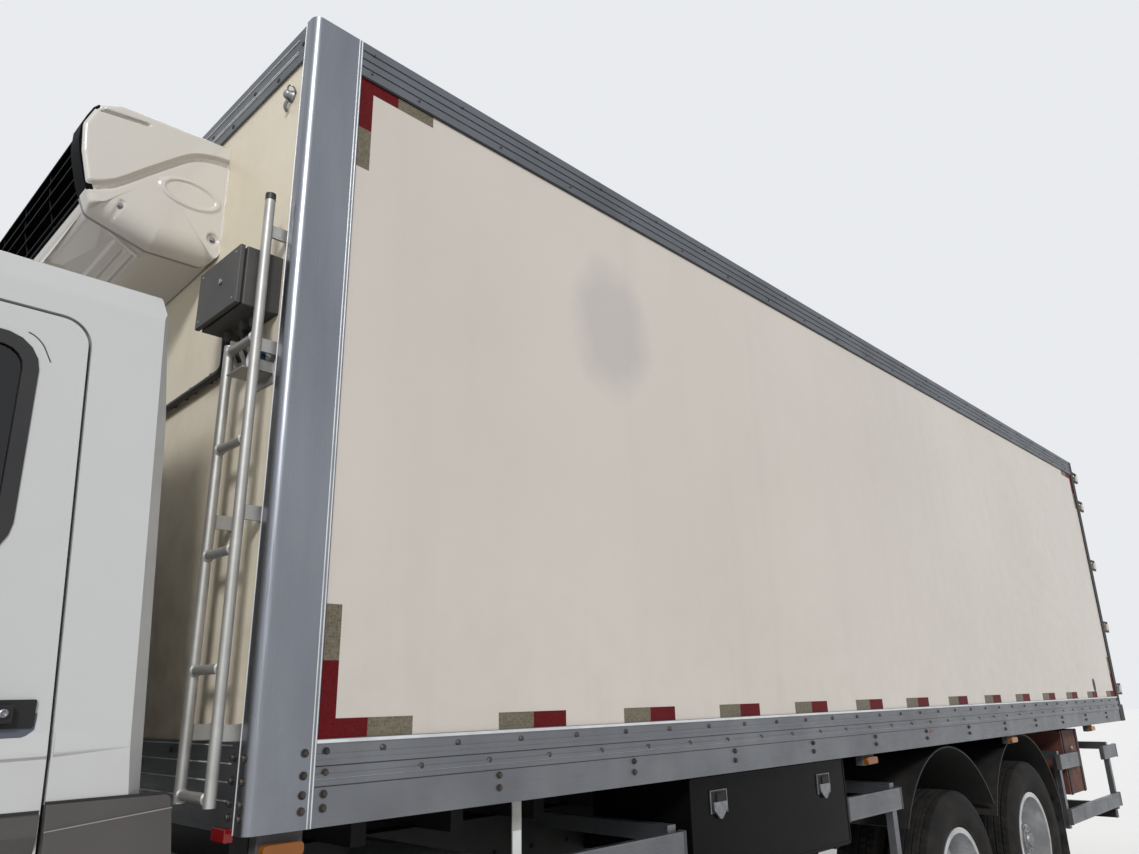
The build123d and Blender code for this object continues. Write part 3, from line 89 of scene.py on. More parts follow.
@dataclass
class Shape:
    """Points (n, 3) and faces, which are a list of (m, corners) index arrays."""

    points: np.ndarray
    faces: list[np.ndarray]

    @staticmethod
    def joined(shapes: Iterable["Shape"]) -> "Shape":
        """All shapes in one, each shape's face indices moved on by the points before it."""
        points, faces, start = [], [], 0
        for shape in shapes:
            points.append(shape.points)
            faces += [part + start for part in shape.faces]
            start += len(shape.points)
        return Shape(np.concatenate(points), faces)

    def copies(self, places: Any) -> "Shape":
        """One copy of this shape moved to each place: point = own point + place."""
        places = np.asarray(places, float).reshape(-1, 3)
        points = (self.points[None] + places[:, None]).reshape(-1, 3)
        steps = np.arange(len(places))[:, None, None] * len(self.points)
        return Shape(points, [(part[None] + steps).reshape(-1, part.shape[1]) for part in self.faces])

    def on_side(self, sign: int) -> "Shape":
        """The same shape for +1, or for -1 its mirror image: y becomes -y, with the faces turned over."""
        if sign > 0:
            return self
        return Shape(self.points * (1, -1, 1), [part[:, ::-1] for part in self.faces])

    def pair(self) -> "Shape":
        """This shape and its twin on the truck's right."""
        return Shape.joined([self, self.on_side(-1)])

    def mesh(self, name: str) -> bpy.types.Mesh:
        """A Blender mesh of the points and faces."""
        made = bpy.data.meshes.new(name)
        made.from_pydata(self.points.tolist(), [], [row for part in self.faces for row in part.tolist()])
        return made


def grid(points: np.ndarray, close_rows: bool = False, close_columns: bool = False) -> Shape:
    """Quads between the neighbours of a grid of points.

    A quad is a point, the one after it in its row, and the two below, all from rolled index arrays.

    Args:
        points: (rows, columns, 3) places.
        close_rows: whether the last row joins the first.
        close_columns: whether each row's end joins its start.

    Returns:
        One quad for each pair of neighbouring rows and columns.
    """
    index = np.arange(points.shape[0] * points.shape[1]).reshape(points.shape[:2])
    after, below = np.roll(index, -1, 1), np.roll(index, -1, 0)
    quads = np.stack([index, after, np.roll(after, -1, 0), below], -1)
    quads = quads[:None if close_rows else -1, :None if close_columns else -1]
    return Shape(points.reshape(-1, 3), [quads.reshape(-1, 4)])


def lidded(rings: np.ndarray) -> Shape:
    """A closed skin: quads between (rings, sides, 3) places, and one flat lid at each end."""
    shape = grid(rings, close_columns=True)
    count, sides = rings.shape[:2]
    first = np.arange(sides)[::-1][None]
    last = np.arange(sides)[None] + (count - 1) * sides
    return Shape(shape.points, shape.faces + [first, last])


def looped(rings: np.ndarray) -> Shape:
    """A closed skin over (rings, sides, 3) places whose last ring joins the first."""
    return grid(rings, close_rows=True, close_columns=True)


def rounded(corners: Sequence[Triple], steps: int = 5) -> np.ndarray:
    """Outline with round corners.

    An arc's points are its centre plus radius times (cos, sin), from one tangent point to the next.

    Args:
        corners: (a, b, radius) of each corner; radius 0 leaves it sharp.
        steps: runs in each arc.

    Returns:
        (n, 2) points in the corners' order.
    """
    out = []
    spots = np.array([corner[:2] for corner in corners], float)
    for index, (_, _, radius) in enumerate(corners):
        here = spots[index]
        if radius <= 0:
            out.append(here[None])
            continue
        back, on = spots[index - 1] - here, spots[(index + 1) % len(spots)] - here
        back, on = back / np.linalg.norm(back), on / np.linalg.norm(on)
        half = math.acos(float(np.clip(back @ on, -1, 1))) / 2
        centre = here + (back + on) / np.linalg.norm(back + on) * radius / math.sin(half)
        cut = radius / math.tan(half)
        start, stop = here + back * cut - centre, here + on * cut - centre
        begin, sweep = math.atan2(start[1], start[0]), math.atan2(stop[1], stop[0])
        sweep = (sweep - begin + math.pi) % TURN - math.pi
        angles = begin + sweep * np.linspace(0, 1, steps + 1)
        out.append(centre + radius * np.stack([np.cos(angles), np.sin(angles)], 1))
    return np.concatenate(out)


def box_outline(a: Pair, b: Pair, radius: float, steps: int = 5) -> np.ndarray:
    """Rounded rectangle, drawn anticlockwise, from its (low, high) sides on two axes."""
    corners = ((a[0], b[0]), (a[1], b[0]), (a[1], b[1]), (a[0], b[1]))
    return rounded([(*corner, radius) for corner in corners], steps)


AXES = {"x": (1, 2, 0), "y": (2, 0, 1), "z": (0, 1, 2)}


def place_flat(flat: np.ndarray, axis: str, level: Any) -> np.ndarray:
    """Put flat points in space.

    Args:
        flat: (..., 2) points, which are (y, z), (z, x) or (x, y) by the axis.
        axis: the axis square to them.
        level: their places along it.

    Returns:
        (..., 3) points.
    """
    first, second, along = AXES[axis]
    out = np.zeros(flat.shape[:-1] + (3,))
    out[..., first], out[..., second], out[..., along] = flat[..., 0], flat[..., 1], level
    return out


def prism(outline: np.ndarray, axis: str, low: float, high: float) -> Shape:
    """A flat outline carried straight along an axis.

    The shoelace sum gives the outline's turn, and a clockwise one is reversed.

    Args:
        outline: (n, 2) points; for axis y they are (z, x).
        axis: the axis to carry it along.
        low: level of one end.
        high: level of the other end.

    Returns:
        The closed solid.
    """
    a, b = outline.T
    area = float(np.sum(a * np.roll(b, -1) - np.roll(a, -1) * b))
    ring = outline if area > 0 else outline[::-1]
    return lidded(np.stack([place_flat(ring, axis, low), place_flat(ring, axis, high)]))


def side_prism(outline: Any, low: float, high: float) -> Shape:
    """A prism along Y from (x, z) pairs."""
    return prism(np.asarray(outline, float)[:, ::-1], "y", low, high)


def block(x: Pair, y: Pair, z: Pair) -> Shape:
    """A straight-sided block from (low, high) along each axis."""
    return prism(box_outline(x, y, 0), "z", *z)


def circle(radius: Any, sides: int) -> np.ndarray:
    """Points round a circle: radius times (cos, sin)."""
    angles = np.arange(sides) / sides * TURN
    return radius * np.stack([np.cos(angles), np.sin(angles)], 1)


def tube(path: Any, radius: float, sides: int = 12, up: Triple = (0, 0, 1)) -> Shape:
    """A round bar with flat ends.

    At each place, side is up x tangent, rise is tangent x side, and the ring is the place plus
    side and rise times the circle's (cos, sin).

    Args:
        path: (n, 3) places along its middle.
        radius: of the bar.
        sides: points in each ring.
        up: a direction that the path never runs along.

    Returns:
        The closed solid.
    """
    path = np.asarray(path, float)
    section = circle(radius, sides)
    ahead = np.gradient(path, axis=0)
    ahead /= np.linalg.norm(ahead, axis=1, keepdims=True)
    side = np.cross(np.asarray(up, float), ahead)
    side /= np.linalg.norm(side, axis=1, keepdims=True)
    rise = np.cross(ahead, side)
    return lidded(path[:, None] + side[:, None] * section[None, :, :1] + rise[:, None] * section[None, :, 1:])


def smooth_path(points: Any, count: int) -> np.ndarray:
    """Places along a uniform quadratic B-spline that starts and ends at the given ends.

    Each piece is (1-t)^2/2 of one point, (1/2 + t - t^2) of the next and t^2/2 of the one after.

    Args:
        points: (n, axes) control points.
        count: places along it.

    Returns:
        (count, axes) places.
    """
    points = np.asarray(points, float)
    points = np.concatenate([2 * points[:1] - points[1:2], points, 2 * points[-1:] - points[-2:-1]])
    places = np.linspace(0.5, len(points) - 2.5, count)
    base = np.minimum(np.floor(places).astype(int), len(points) - 3)
    t = (places - base)[:, None]
    first, middle, last = (points[base + step] for step in range(3))
    return first * (1 - t) ** 2 / 2 + middle * (0.5 + t - t * t) + last * t * t / 2


def lathe(profile: Sequence[Pair], centre: Triple, axis: str, sides: int = 32, loop: bool = False) -> Shape:
    """A profile turned about an axis: centre + along on the axis + radius times (cos, sin) across it.

    Args:
        profile: (along, radius) pairs.
        centre: where the axis starts.
        axis: the axis to turn about.
        sides: points in each ring.
        loop: whether the profile closes on itself, instead of ending in flat lids.

    Returns:
        The closed solid.
    """
    profile = np.asarray(profile, float)
    flat = circle(profile[:, None, 1:], sides)
    rings = place_flat(flat, axis, profile[:, :1]) + np.asarray(centre, float)
    return looped(rings) if loop else lidded(rings)


def heads(places: Any, axis: str, radius: float, tall: float, sign: int = 1) -> Shape:
    """Low domed rivet heads, each seated 1 mm into what carries it.

    Args:
        places: (n, 3) seats.
        axis: the axis that they stand along.
        radius: of a head.
        tall: its height.
        sign: 1 to stand up the axis, -1 to stand down it.

    Returns:
        All the heads.
    """
    profile = [(-MM, radius), (tall * 0.35, radius * 0.96), (tall * 0.8, radius * 0.65), (tall, radius * 0.2)]
    head = lathe(profile, (0, 0, 0), axis, 8)
    if sign < 0:
        flip = np.ones(3)
        flip[AXES[axis][2]] = -1
        head = Shape(head.points * flip, [part[:, ::-1] for part in head.faces])
    return head.copies(places)


def bolts(places: Any, axis: str, radius: float, tall: float) -> Shape:
    """Hexagon heads, each on a washer seated 1 mm into what carries it.

    Args:
        places: (n, 3) seats.
        axis: the axis that they stand along.
        radius: of a hexagon's corners.
        tall: height of washer and head.

    Returns:
        All the bolts.
    """
    washer = lathe([(-MM, radius * 1.45), (tall * 0.22, radius * 1.45)], (0, 0, 0), axis, 14)
    head = lathe([(tall * 0.2, radius), (tall * 0.85, radius), (tall, radius * 0.84)], (0, 0, 0), axis, 6)
    return Shape.joined([washer, head]).copies(places)


def evenly(outline: np.ndarray, count: int) -> np.ndarray:
    """Points at even steps along a closed outline, found on its running length."""
    closed = np.concatenate([outline, outline[:1]])
    away = np.concatenate([[0.0], np.cumsum(np.linalg.norm(np.diff(closed, axis=0), axis=1))])
    at = np.arange(count) / count * away[-1]
    return np.stack([np.interp(at, away, closed[:, 0]), np.interp(at, away, closed[:, 1])], 1)


def outward(outline: np.ndarray) -> np.ndarray:
    """Unit normals of a closed outline drawn clockwise: the step between neighbours, turned left."""
    step = np.roll(outline, -1, 0) - np.roll(outline, 1, 0)
    step /= np.linalg.norm(step, axis=1, keepdims=True)
    return np.stack([-step[:, 1], step[:, 0]], 1)


def ease(value: Any, low: float, high: float) -> np.ndarray:
    """Smooth step from 0 at low to 1 at high: 3 t^2 - 2 t^3."""
    share = np.clip((value - low) / (high - low), 0, 1)
    return share * share * (3 - 2 * share)


def distance_to(points: np.ndarray, line: Any) -> np.ndarray:
    """Distance from places to a polyline: to the nearest spot on each run, kept to its ends.

    Args:
        points: (n, 2) places.
        line: (m, 2) corners of the polyline.

    Returns:
        (n,) distances.
    """
    line = np.asarray(line, float)
    start, run = line[:-1], np.diff(line, axis=0)
    share = np.clip(((points[:, None] - start) * run).sum(2) / (run * run).sum(1), 0, 1)
    return np.linalg.norm(points[:, None] - start - share[..., None] * run, axis=2).min(1)


class Skin:
    """Finds where the outer surface of CAD nodes lies, so that trim sits on it."""

    def __init__(self, axis: str, start: float, back: float, *nodes: str) -> None:
        """Take the nodes' meshes into one search tree.

        Args:
            axis: the axis to look along.
            start: the level to look from, outside the nodes and above zero.
            back: the level that is taken where nothing is met.
            nodes: the CAD nodes.
        """
        self.axis, self.start, self.back = axis, start, back
        points, faces = [], []
        for node in nodes:
            mesh = frame["nodes"][node].data
            first = len(points)
            points += [vertex.co.copy() for vertex in mesh.vertices]
            faces += [[first + corner for corner in polygon.vertices] for polygon in mesh.polygons]
        self.tree = BVHTree.FromPolygons(points, faces)

    def laid(self, flat: Any, rise: Any = 0.0, at: Any = None) -> np.ndarray:
        """Places above the surface, whose level is the first hit of a ray that looks down the axis.

        Args:
            flat: (n, 2) places: (y, z) where the axis is x, and (x, z) where it is y.
            rise: how far above the surface they lie.
            at: (n, 2) places where the surface is met, if not straight below the others.

        Returns:
            (n, 3) points.
        """
        along = AXES[self.axis][2]
        order = -1 if self.axis == "y" else 1
        points, looks = (place_flat(np.asarray(part, float)[:, ::order], self.axis, self.start)
                for part in (flat, flat if at is None else at))
        ahead = Vector([-float(index == along) for index in range(3)])
        hits = [self.tree.ray_cast(Vector(look), ahead)[0] for look in looks]
        points[:, along] = np.array([self.back if hit is None else hit[along] for hit in hits]) + rise
        return points


# Materials


def linear(code: str) -> Floats:
    """An sRGB hex colour as linear RGBA."""
    parts = np.array([int(code[i:i + 2], 16) for i in (1, 3, 5)]) / 255
    parts = np.where(parts <= 0.04045, parts / 12.92, ((parts + 0.055) / 1.055) ** 2.4)
    return (*parts.tolist(), 1.0)


def add(tree: bpy.types.NodeTree, kind: str, inputs: dict[Any, Any] | None = None,
        settings: dict[str, Any] | None = None, out: int | str = 0) -> bpy.types.NodeSocket | None:
    """Add a node with its inputs and its settings.

    Args:
        tree: the material's or world's node tree.
        kind: the node's type, without its ShaderNode prefix.
        inputs: input name or number to a value, or to a socket that it links from.
        settings: properties of the node.
        out: the output that is wanted.

    Returns:
        That output's socket, or None for a node that has none.
    """
    made = tree.nodes.new("ShaderNode" + kind)
    for name, value in (settings or {}).items():
        setattr(made, name, value)
    for name, value in (inputs or {}).items():
        if isinstance(value, bpy.types.NodeSocket):
            tree.links.new(value, made.inputs[name])
        else:
            made.inputs[name].default_value = value
    return made.outputs[out] if made.outputs else None


COLOURS = {"data_type": "RGBA"}
TIMES, PLUS, MOST = ({"operation": name} for name in ("MULTIPLY", "ADD", "MAXIMUM"))


@dataclass(frozen=True)
class Finish:
    """A real surface: its two tones, its sheen, its grain and the dirt on it.

    Sizes are in millimetres; grain is stretched where the tooling ran.
    """

    name: str
    slot: str
    colour: str
    shade: str
    rough: float = 0.5
    swing: float = 0.08
    metal: float = 0.0
    tone_mm: float = 420.0
    tone_stretch: Triple = (1, 1, 1)
    grain_mm: float = 2.0
    grain_deep_mm: float = 0.05
    grain_stretch: Triple = (1, 1, 1)
    dirt: str = "#6f675b"
    dirt_share: float = 0.18
    dirt_top: float = 1.6
    coat: float = 0.0
    coat_rough: float = 0.08
    ior: float = 1.5
    see_through: float = 0.0
    specular: float = 0.5

    TONE_RANGE = (0.35, 0.65)
    GRAIN_RANGE = (0.3, 0.7)
    BUMP = 0.8
    # Dirt lies thickest 1.3 m below its top, in patches 90 mm wide, and dulls what it covers.
    DIRT_FALL = 1.3
    DIRT_LEAST = 0.12
    PATCH_MM = 90.0
    PATCH_RANGE = (0.42, 0.72)
    DIRT_DULLS = 0.5

    def paint(self, tree: bpy.types.NodeTree, coords: Any, colour: Any) -> Any:
        """Extra marks on the colour; the plain finish has none."""
        return colour

    def build(self) -> bpy.types.Material:
        """The finish as a node material.

        Colour is the two tones mixed by wide noise, then the marks, then the dirt. Roughness and bump
        follow the fine grain.

        Returns:
            The new material.
        """
        material = bpy.data.materials.new(self.name)
        material.use_nodes = True
        tree = material.node_tree
        tree.nodes.clear()
        coords = add(tree, "TexCoord", out="Object")

        def noise(size_mm: float, stretch: Triple, detail: float = 3.0) -> Any:
            """Noise whose lumps are size_mm wide, longer where stretch is above 1."""
            scale = tuple(1 / MM / size_mm / part for part in stretch)
            vector = add(tree, "Mapping", {"Vector": coords, "Scale": scale})
            return add(tree, "TexNoise", {"Vector": vector, "Scale": 1.0, "Detail": detail})

        tone = noise(self.tone_mm, self.tone_stretch)
        tone = add(tree, "MapRange", {0: tone, 1: self.TONE_RANGE[0], 2: self.TONE_RANGE[1]})
        colour = add(tree, "Mix", {0: tone, 6: linear(self.colour), 7: linear(self.shade)}, COLOURS, 2)
        grain = noise(self.grain_mm, self.grain_stretch, 2.0)
        colour = self.paint(tree, coords, colour)
        height = add(tree, "SeparateXYZ", {0: coords}, out=2)
        foot = max(self.dirt_top - self.DIRT_FALL, 0.0)
        low = add(tree, "MapRange", {0: height, 1: self.dirt_top, 2: foot, 3: self.DIRT_LEAST, 4: 1.0})
        patch = noise(self.PATCH_MM, (1, 1, 1), 6.0)
        patch = add(tree, "MapRange", {0: patch, 1: self.PATCH_RANGE[0], 2: self.PATCH_RANGE[1]})
        soiled = add(tree, "Math", {0: low, 1: patch}, TIMES)
        soiled = add(tree, "Math", {0: soiled, 1: self.dirt_share}, TIMES)
        colour = add(tree, "Mix", {0: soiled, 6: colour, 7: linear(self.dirt)}, COLOURS, 2)
        smooth, dull = max(self.rough - self.swing, 0.02), min(self.rough + self.swing, 1.0)
        rough = add(tree, "MapRange", {0: grain, 1: self.GRAIN_RANGE[0], 2: self.GRAIN_RANGE[1], 3: smooth,
                4: dull})
        dulled = add(tree, "Math", {0: soiled, 1: self.DIRT_DULLS}, TIMES)
        rough = add(tree, "Math", {0: rough, 1: dulled}, PLUS)
        bump = add(tree, "Bump", {"Strength": self.BUMP, "Distance": self.grain_deep_mm * MM,
                "Height": grain})
        inputs = {"Base Color": colour, "Roughness": rough, "Metallic": self.metal, "Normal": bump,
                "Coat Weight": self.coat, "Coat Roughness": self.coat_rough,
                "Transmission Weight": self.see_through, "Specular IOR Level": self.specular}
        if not self.metal:
            inputs["IOR"] = self.ior
        add(tree, "OutputMaterial", {"Surface": add(tree, "BsdfPrincipled", inputs)})
        return material


@dataclass(frozen=True)
class StreakedPanel(Finish):
    """Gel-coated glass-fibre sheet, moulded flat: smooth and satin, with faint runs of rain-washed
    dust from the roof edge and one round smudge."""

    smudge: Triple = (0.0, 0.0, 0.0)
    smudge_wide: Pair = (0.25, 0.3)
    smudge_share: float = 0.6

    # A run is about 110 mm wide and 2.9 m long, and hides 7% of the sheet at most.
    RUN_SCALE = (9.0, 9.0, 0.35)
    RUN_SHARE = 0.07
    RUN_COLOUR = "#8f8c88"
    SMUDGE_COLOUR = "#a8a2a0"
    # The smudge's edge wanders by this share of its half width, in waves 200 mm long.
    SMUDGE_WANDER = 0.12
    WAVE_SCALE = 5.0

    def paint(self, tree: bpy.types.NodeTree, coords: Any, colour: Any) -> Any:
        """Vertical runs, and the smudge as a soft ellipse about its middle.

        Args:
            tree: the material's node tree.
            coords: socket of the object coordinates.
            colour: socket of the colour so far.

        Returns:
            Socket of the colour with the marks.
        """
        runs = add(tree, "Mapping", {"Vector": coords, "Scale": self.RUN_SCALE})
        runs = add(tree, "TexNoise", {"Vector": runs, "Scale": 1.0, "Detail": 5.0})
        runs = add(tree, "MapRange", {0: runs, 1: 0.52, 2: 0.75, 3: 0.0, 4: self.RUN_SHARE})
        colour = add(tree, "Mix", {0: runs, 6: colour, 7: linear(self.RUN_COLOUR)}, COLOURS, 2)
        if not self.smudge_share:
            return colour
        wide, tall = self.smudge_wide
        scale = (1 / wide, 1 / wide, 1 / tall)
        shift = tuple(-middle * part for middle, part in zip(self.smudge, scale))
        near = add(tree, "Mapping", {"Vector": coords, "Scale": scale, "Location": shift})
        away = add(tree, "VectorMath", {0: near}, {"operation": "LENGTH"}, "Value")
        waves = add(tree, "TexNoise", {"Vector": coords, "Scale": self.WAVE_SCALE, "Detail": 3.0})
        waves = add(tree, "MapRange", {0: waves, 1: 0.3, 2: 0.7, 3: -self.SMUDGE_WANDER,
                4: self.SMUDGE_WANDER})
        away = add(tree, "Math", {0: away, 1: waves}, PLUS)
        share = add(tree, "MapRange", {0: away, 1: 1.10, 2: 0.62, 3: 0.0, 4: self.smudge_share})
        return add(tree, "Mix", {0: share, 6: colour, 7: linear(self.SMUDGE_COLOUR)}, COLOURS, 2)


@dataclass(frozen=True)
class PrismaticTape(Finish):
    """Retro-reflective film: clear skin over a welded honeycomb of 4 mm cells, drawn 9 mm wide so
    that it shows; the weld lines are paler and stand proud of the cells."""

    weld: str = "#a09a8c"

    CELL_MM = 9.0
    CELL_UNEVEN = 0.12
    WELD_SHARE = 0.2

    def paint(self, tree: bpy.types.NodeTree, coords: Any, colour: Any) -> Any:
        """Cell walls from the distance to a Voronoi cell's edge.

        Args:
            tree: the material's node tree.
            coords: socket of the object coordinates.
            colour: socket of the colour so far.

        Returns:
            Socket of the colour with the weld lines.
        """
        walls = add(tree, "TexVoronoi", {"Vector": coords, "Scale": 1 / MM / self.CELL_MM,
                "Randomness": self.CELL_UNEVEN}, {"feature": "DISTANCE_TO_EDGE"}, "Distance")
        walls = add(tree, "MapRange", {0: walls, 1: 0.05, 2: 0.12, 3: self.WELD_SHARE, 4: 0.0})
        return add(tree, "Mix", {0: walls, 6: colour, 7: linear(self.weld)}, COLOURS, 2)


@dataclass(frozen=True)
class Extrusion(Finish):
    """Mill-finish aluminium, drawn through a die: dull silver with fine lines, and grey dirt."""

    metal: float = 1.0
    grain_mm: float = 1.6
    grain_deep_mm: float = 0.02
    dirt: str = "#57534d"


@dataclass(frozen=True)
class Moulding(Finish):
    """Moulded sheet or plastic with a fine, even grain."""

    grain_mm: float = 1.4
    dirt: str = "#746d62"


@dataclass(frozen=True)
class GelCoat(StreakedPanel):
    """Gel coat out of a flat mould: broad soft waves, hardly any grain."""

    grain_mm: float = 60.0
    grain_deep_mm: float = 0.06
    smudge_share: float = 0.0


@dataclass(frozen=True)
class Lens(Finish):
    """Acrylic lamp lens, moulded with a fine pattern of ribs that lets a quarter of the light through."""

    rough: float = 0.15
    swing: float = 0.03
    grain_mm: float = 5.0
    grain_deep_mm: float = 0.25
    dirt_share: float = 0.15
    ior: float = 1.49
    see_through: float = 0.25


class Surface(Enum):
    """Every finish on the truck, named for its material and how its surface was made."""

    # Gel coat: smooth and satin, in slow waves; on the roof the sun has chalked it.
    PANEL = GelCoat("gelcoat_moulded_sheet_side", "panel", "#c1bab2", "#bbb4ac", 0.36, 0.05, tone_mm=1400,
        dirt_share=0.10, dirt_top=2.2, smudge=(1.772, 1.292, 3.06), smudge_wide=(0.25, 0.31),
        smudge_share=0.6)
    ROOF = Finish("gelcoat_weathered_sheet_top", "panel", "#bcb6ae", "#b3ada5", 0.62, 0.06, tone_mm=1400,
        grain_mm=60, grain_deep_mm=0.06, dirt="#7b756b", dirt_share=0.3, dirt_top=4.2, specular=0.2)
    FRONT = GelCoat("gelcoat_moulded_sheet_front", "wall_cream", "#dcd2be", "#d3c9b3", 0.4, 0.06, tone_mm=700,
        dirt="#7b6f5c", dirt_share=0.34, dirt_top=2.6)
    # Ply under resin: flat, with a coarse non-slip grain.
    FLOOR = Finish("resin_coated_ply_floor", "floor", "#5b5a57", "#4f4e4b", 0.75, tone_mm=260, grain_mm=3,
        grain_deep_mm=0.25, dirt_share=0.3, dirt_top=2.0)
    # Mill-finish rails: dull silver, with die lines along X and Y.
    ALUMINIUM = Extrusion("aluminium_extruded_mill_finish", "rail_aluminium", "#808286", "#74767b", 0.42, 0.1,
        tone_mm=300, grain_stretch=(60, 60, 1), dirt_share=0.3, dirt_top=1.7)
    # Top rails: a darker copy of the rail aluminium. Its darker tone is a painted reflection of the sky above
    # them, with some dust.
    TOP_RAIL = Extrusion("aluminium_extruded_weathered", "rail_aluminium", "#6f7277", "#64676b", 0.45, 0.1,
        tone_mm=300, grain_stretch=(60, 60, 1), dirt_share=0.2, dirt_top=3.9)
    # Posts: their die lines and tones run up them.
    POST = Extrusion("aluminium_extruded_upright", "rail_aluminium", "#8b8e95", "#7f828a", 0.34, 0.1,
        tone_mm=160, tone_stretch=(1, 1, 6), grain_stretch=(1, 1, 60), dirt_share=0.25, dirt_top=1.9)
    # Weathered tube: paler and duller than the rails.
    LADDER = Extrusion("aluminium_tube_weathered", "rail_aluminium", "#a8a7a4", "#9d9c99", 0.5, metal=0.7,
        tone_mm=60, dirt_share=0.12, dirt_top=2.2)
    # Painted highlights: bright strips, paler than the metal beside them, on the rail and post edges that
    # catch the light.
    BEAD = Extrusion("aluminium_extruded_rubbed_edge", "rail_aluminium", "#d4d5d6", "#c2c4c6", 0.35,
        metal=0.35, tone_mm=90, grain_deep_mm=0.01, dirt="#6f675b", dirt_share=0.1)
    # Moulded plastics: matt from their fine grain. The paler one colours the unit's seam lines and is painted
    # highlight along the sill trim's top edge.
    SKIRT = Moulding("polypropylene_moulded_grey", "plastic_black", "#484544", "#423f3e", 0.55, 0.06,
        tone_mm=240, grain_deep_mm=0.08, dirt_share=0.15)
    TRIM_EDGE = Moulding("polypropylene_rubbed_edge", "plastic_black", "#8b8783", "#837f7b", 0.5, 0.05,
        tone_mm=120, grain_deep_mm=0.04, dirt="#6f675b", dirt_share=0.1)
    # Painted shade: a dark enamel sheet laid flat on the door where the finger recess below the handle lies
    # in shadow; smooth.
    DISH = Finish("enamel_in_shade", "cab_white", "#4b515c", "#454b56", 0.5, 0.04, tone_mm=300, grain_mm=1.2,
        grain_deep_mm=0.006, dirt_share=0.08)
    # Moulded polyethylene: black and matt, dusty low down.
    GUARD_BLACK = Finish("polyethylene_moulded_black", "plastic_black", "#1d1c1c", "#181717", 0.6,
        tone_mm=240, grain_mm=1.6, grain_deep_mm=0.1, dirt="#6d6558", dirt_share=0.22, dirt_top=1.3,
        specular=0.3)
    # Sprayed chassis paint: nearly black, slightly pebbled, road dust low down.
    FRAME = Finish("chassis_paint_sprayed", "frame_dark", "#151516", "#111112", 0.55, 0.1, tone_mm=180,
        grain_mm=4, grain_deep_mm=0.08, dirt="#4f483d", dirt_share=0.3, dirt_top=1.4, specular=0.3)
    # Black plastic that hardly reflects, so that the louvre reads as depth.
    LOUVRE = Finish("polypropylene_gloss_black", "plastic_black", "#08090b", "#0a0b0d", 0.55, 0.05,
        tone_mm=300, grain_deep_mm=0.01, dirt_share=0.01, specular=0.03)
    # White enamel under clear coat: a sharp thin gloss over a softer one. The dust low down is laid thick
    # enough to be partly painted shade, darkening the lower doors where the flank curves under.
    CAB = Finish("cab_enamel_clear_coated", "cab_white", "#b9b9b9", "#b5b5b5", 0.42, 0.04, tone_mm=900,
        grain_mm=1.2, grain_deep_mm=0.006, dirt="#8d877d", dirt_share=0.16, coat=0.4, coat_rough=0.06)
    # Grained polypropylene: dark grey, its texture breaks up the light.
    PLASTIC = Moulding("polypropylene_moulded_grained", "plastic_black", "#454345", "#3c3b3d", 0.6,
        tone_mm=200, grain_deep_mm=0.12, dirt_share=0.3)
    # Extruded rubber: plain black with a dull sheen.
    RUBBER = Finish("rubber_seal_extruded", "plastic_black", "#18181a", "#121214", tone_mm=120, grain_mm=1.0,
        grain_deep_mm=0.03, dirt_share=0.2)
    # Gloss enamel on steel: deep black, clear reflections, a faint orange-peel wave.
    GLOSS_BLACK = Finish("toolbox_steel_gloss_enamel", "toolbox_black", "#0a0a0b", "#0d0d0e", 0.22, 0.05,
        tone_mm=500, grain_mm=20, grain_deep_mm=0.04, dirt="#5e574c", dirt_share=0.03, specular=0.06)
    # Cast iron: rough from the sand mould, dark with oil.
    IRON = Finish("iron_cast_oily", "engine_iron", "#3a3836", "#2c2a29", 0.5, 0.15, metal=0.6, tone_mm=90,
        grain_mm=3, grain_deep_mm=0.3, dirt="#2a241c", dirt_share=0.5)
    # Zinc-plated and black-oxide steel: small parts with blotchy plating.
    STEEL = Finish("steel_zinc_plated", "steel", "#8e8f92", "#7b7c80", 0.42, 0.1, metal=0.9, tone_mm=30,
        grain_mm=1.5, grain_deep_mm=0.03, dirt="#5a5146", dirt_share=0.3)
    DARK_BOLT = Finish("steel_black_oxide", "steel", "#3b3937", "#524a44", 0.5, 0.1, metal=0.7, tone_mm=30,
        grain_mm=1.5, grain_deep_mm=0.03, dirt_share=0.2)
    # Silver paint on pressed steel: bright, with brake dust.
    RIM = Finish("wheel_steel_silver_paint", "rim_silver", "#c6c7c9", "#b9babc", 0.32, metal=0.8, tone_mm=120,
        grain_mm=1.5, grain_deep_mm=0.02, dirt="#5b5247", dirt_share=0.45)
    # Moulded tyre rubber: nearly black and matt, dusty towards the ground.
    TYRE = Finish("rubber_moulded_tread", "tyre", "#171616", "#131212", 0.8, tone_mm=80, grain_mm=1.5,
        grain_deep_mm=0.12, dirt="#544d42", dirt_share=0.22, specular=0.2)
    # Tinted float glass: flat and clear, dark against the cab's inside.
    GLASS = Finish("glass_tinted_float", "glass", "#1c2327", "#1a2124", 0.03, 0.01, tone_mm=900, grain_mm=400,
        grain_deep_mm=0.0, dirt_share=0.02, ior=1.52, see_through=1.0, specular=0.35)
    # Lamp lenses: their moulded pattern breaks up what is behind them.
    LAMP_CLEAR = Lens("polycarbonate_moulded_clear", "lamp_clear", "#dfe3e6", "#d5dadd", 0.06, 0.02,
        grain_mm=9, dirt_share=0.08, ior=1.58, see_through=0.75)
    LAMP_RED = Lens("acrylic_moulded_red", "lamp_red", "#8c1214", "#7a0e10")
    LAMP_AMBER = Lens("acrylic_moulded_amber", "lamp_red", "#a05f12", "#8a4f0e")
    # Moulded glass fibre with a polished skin: white, soft shine, clean.
    UNIT = Finish("glass_fibre_moulded_white", "unit_white", "#c3beb7", "#c2bdb6", 0.26, 0.01, tone_mm=900,
        grain_mm=30, grain_deep_mm=0.002, dirt="#8b8478", dirt_share=0.0, dirt_top=3.4, coat=0.5,
        coat_rough=0.05)
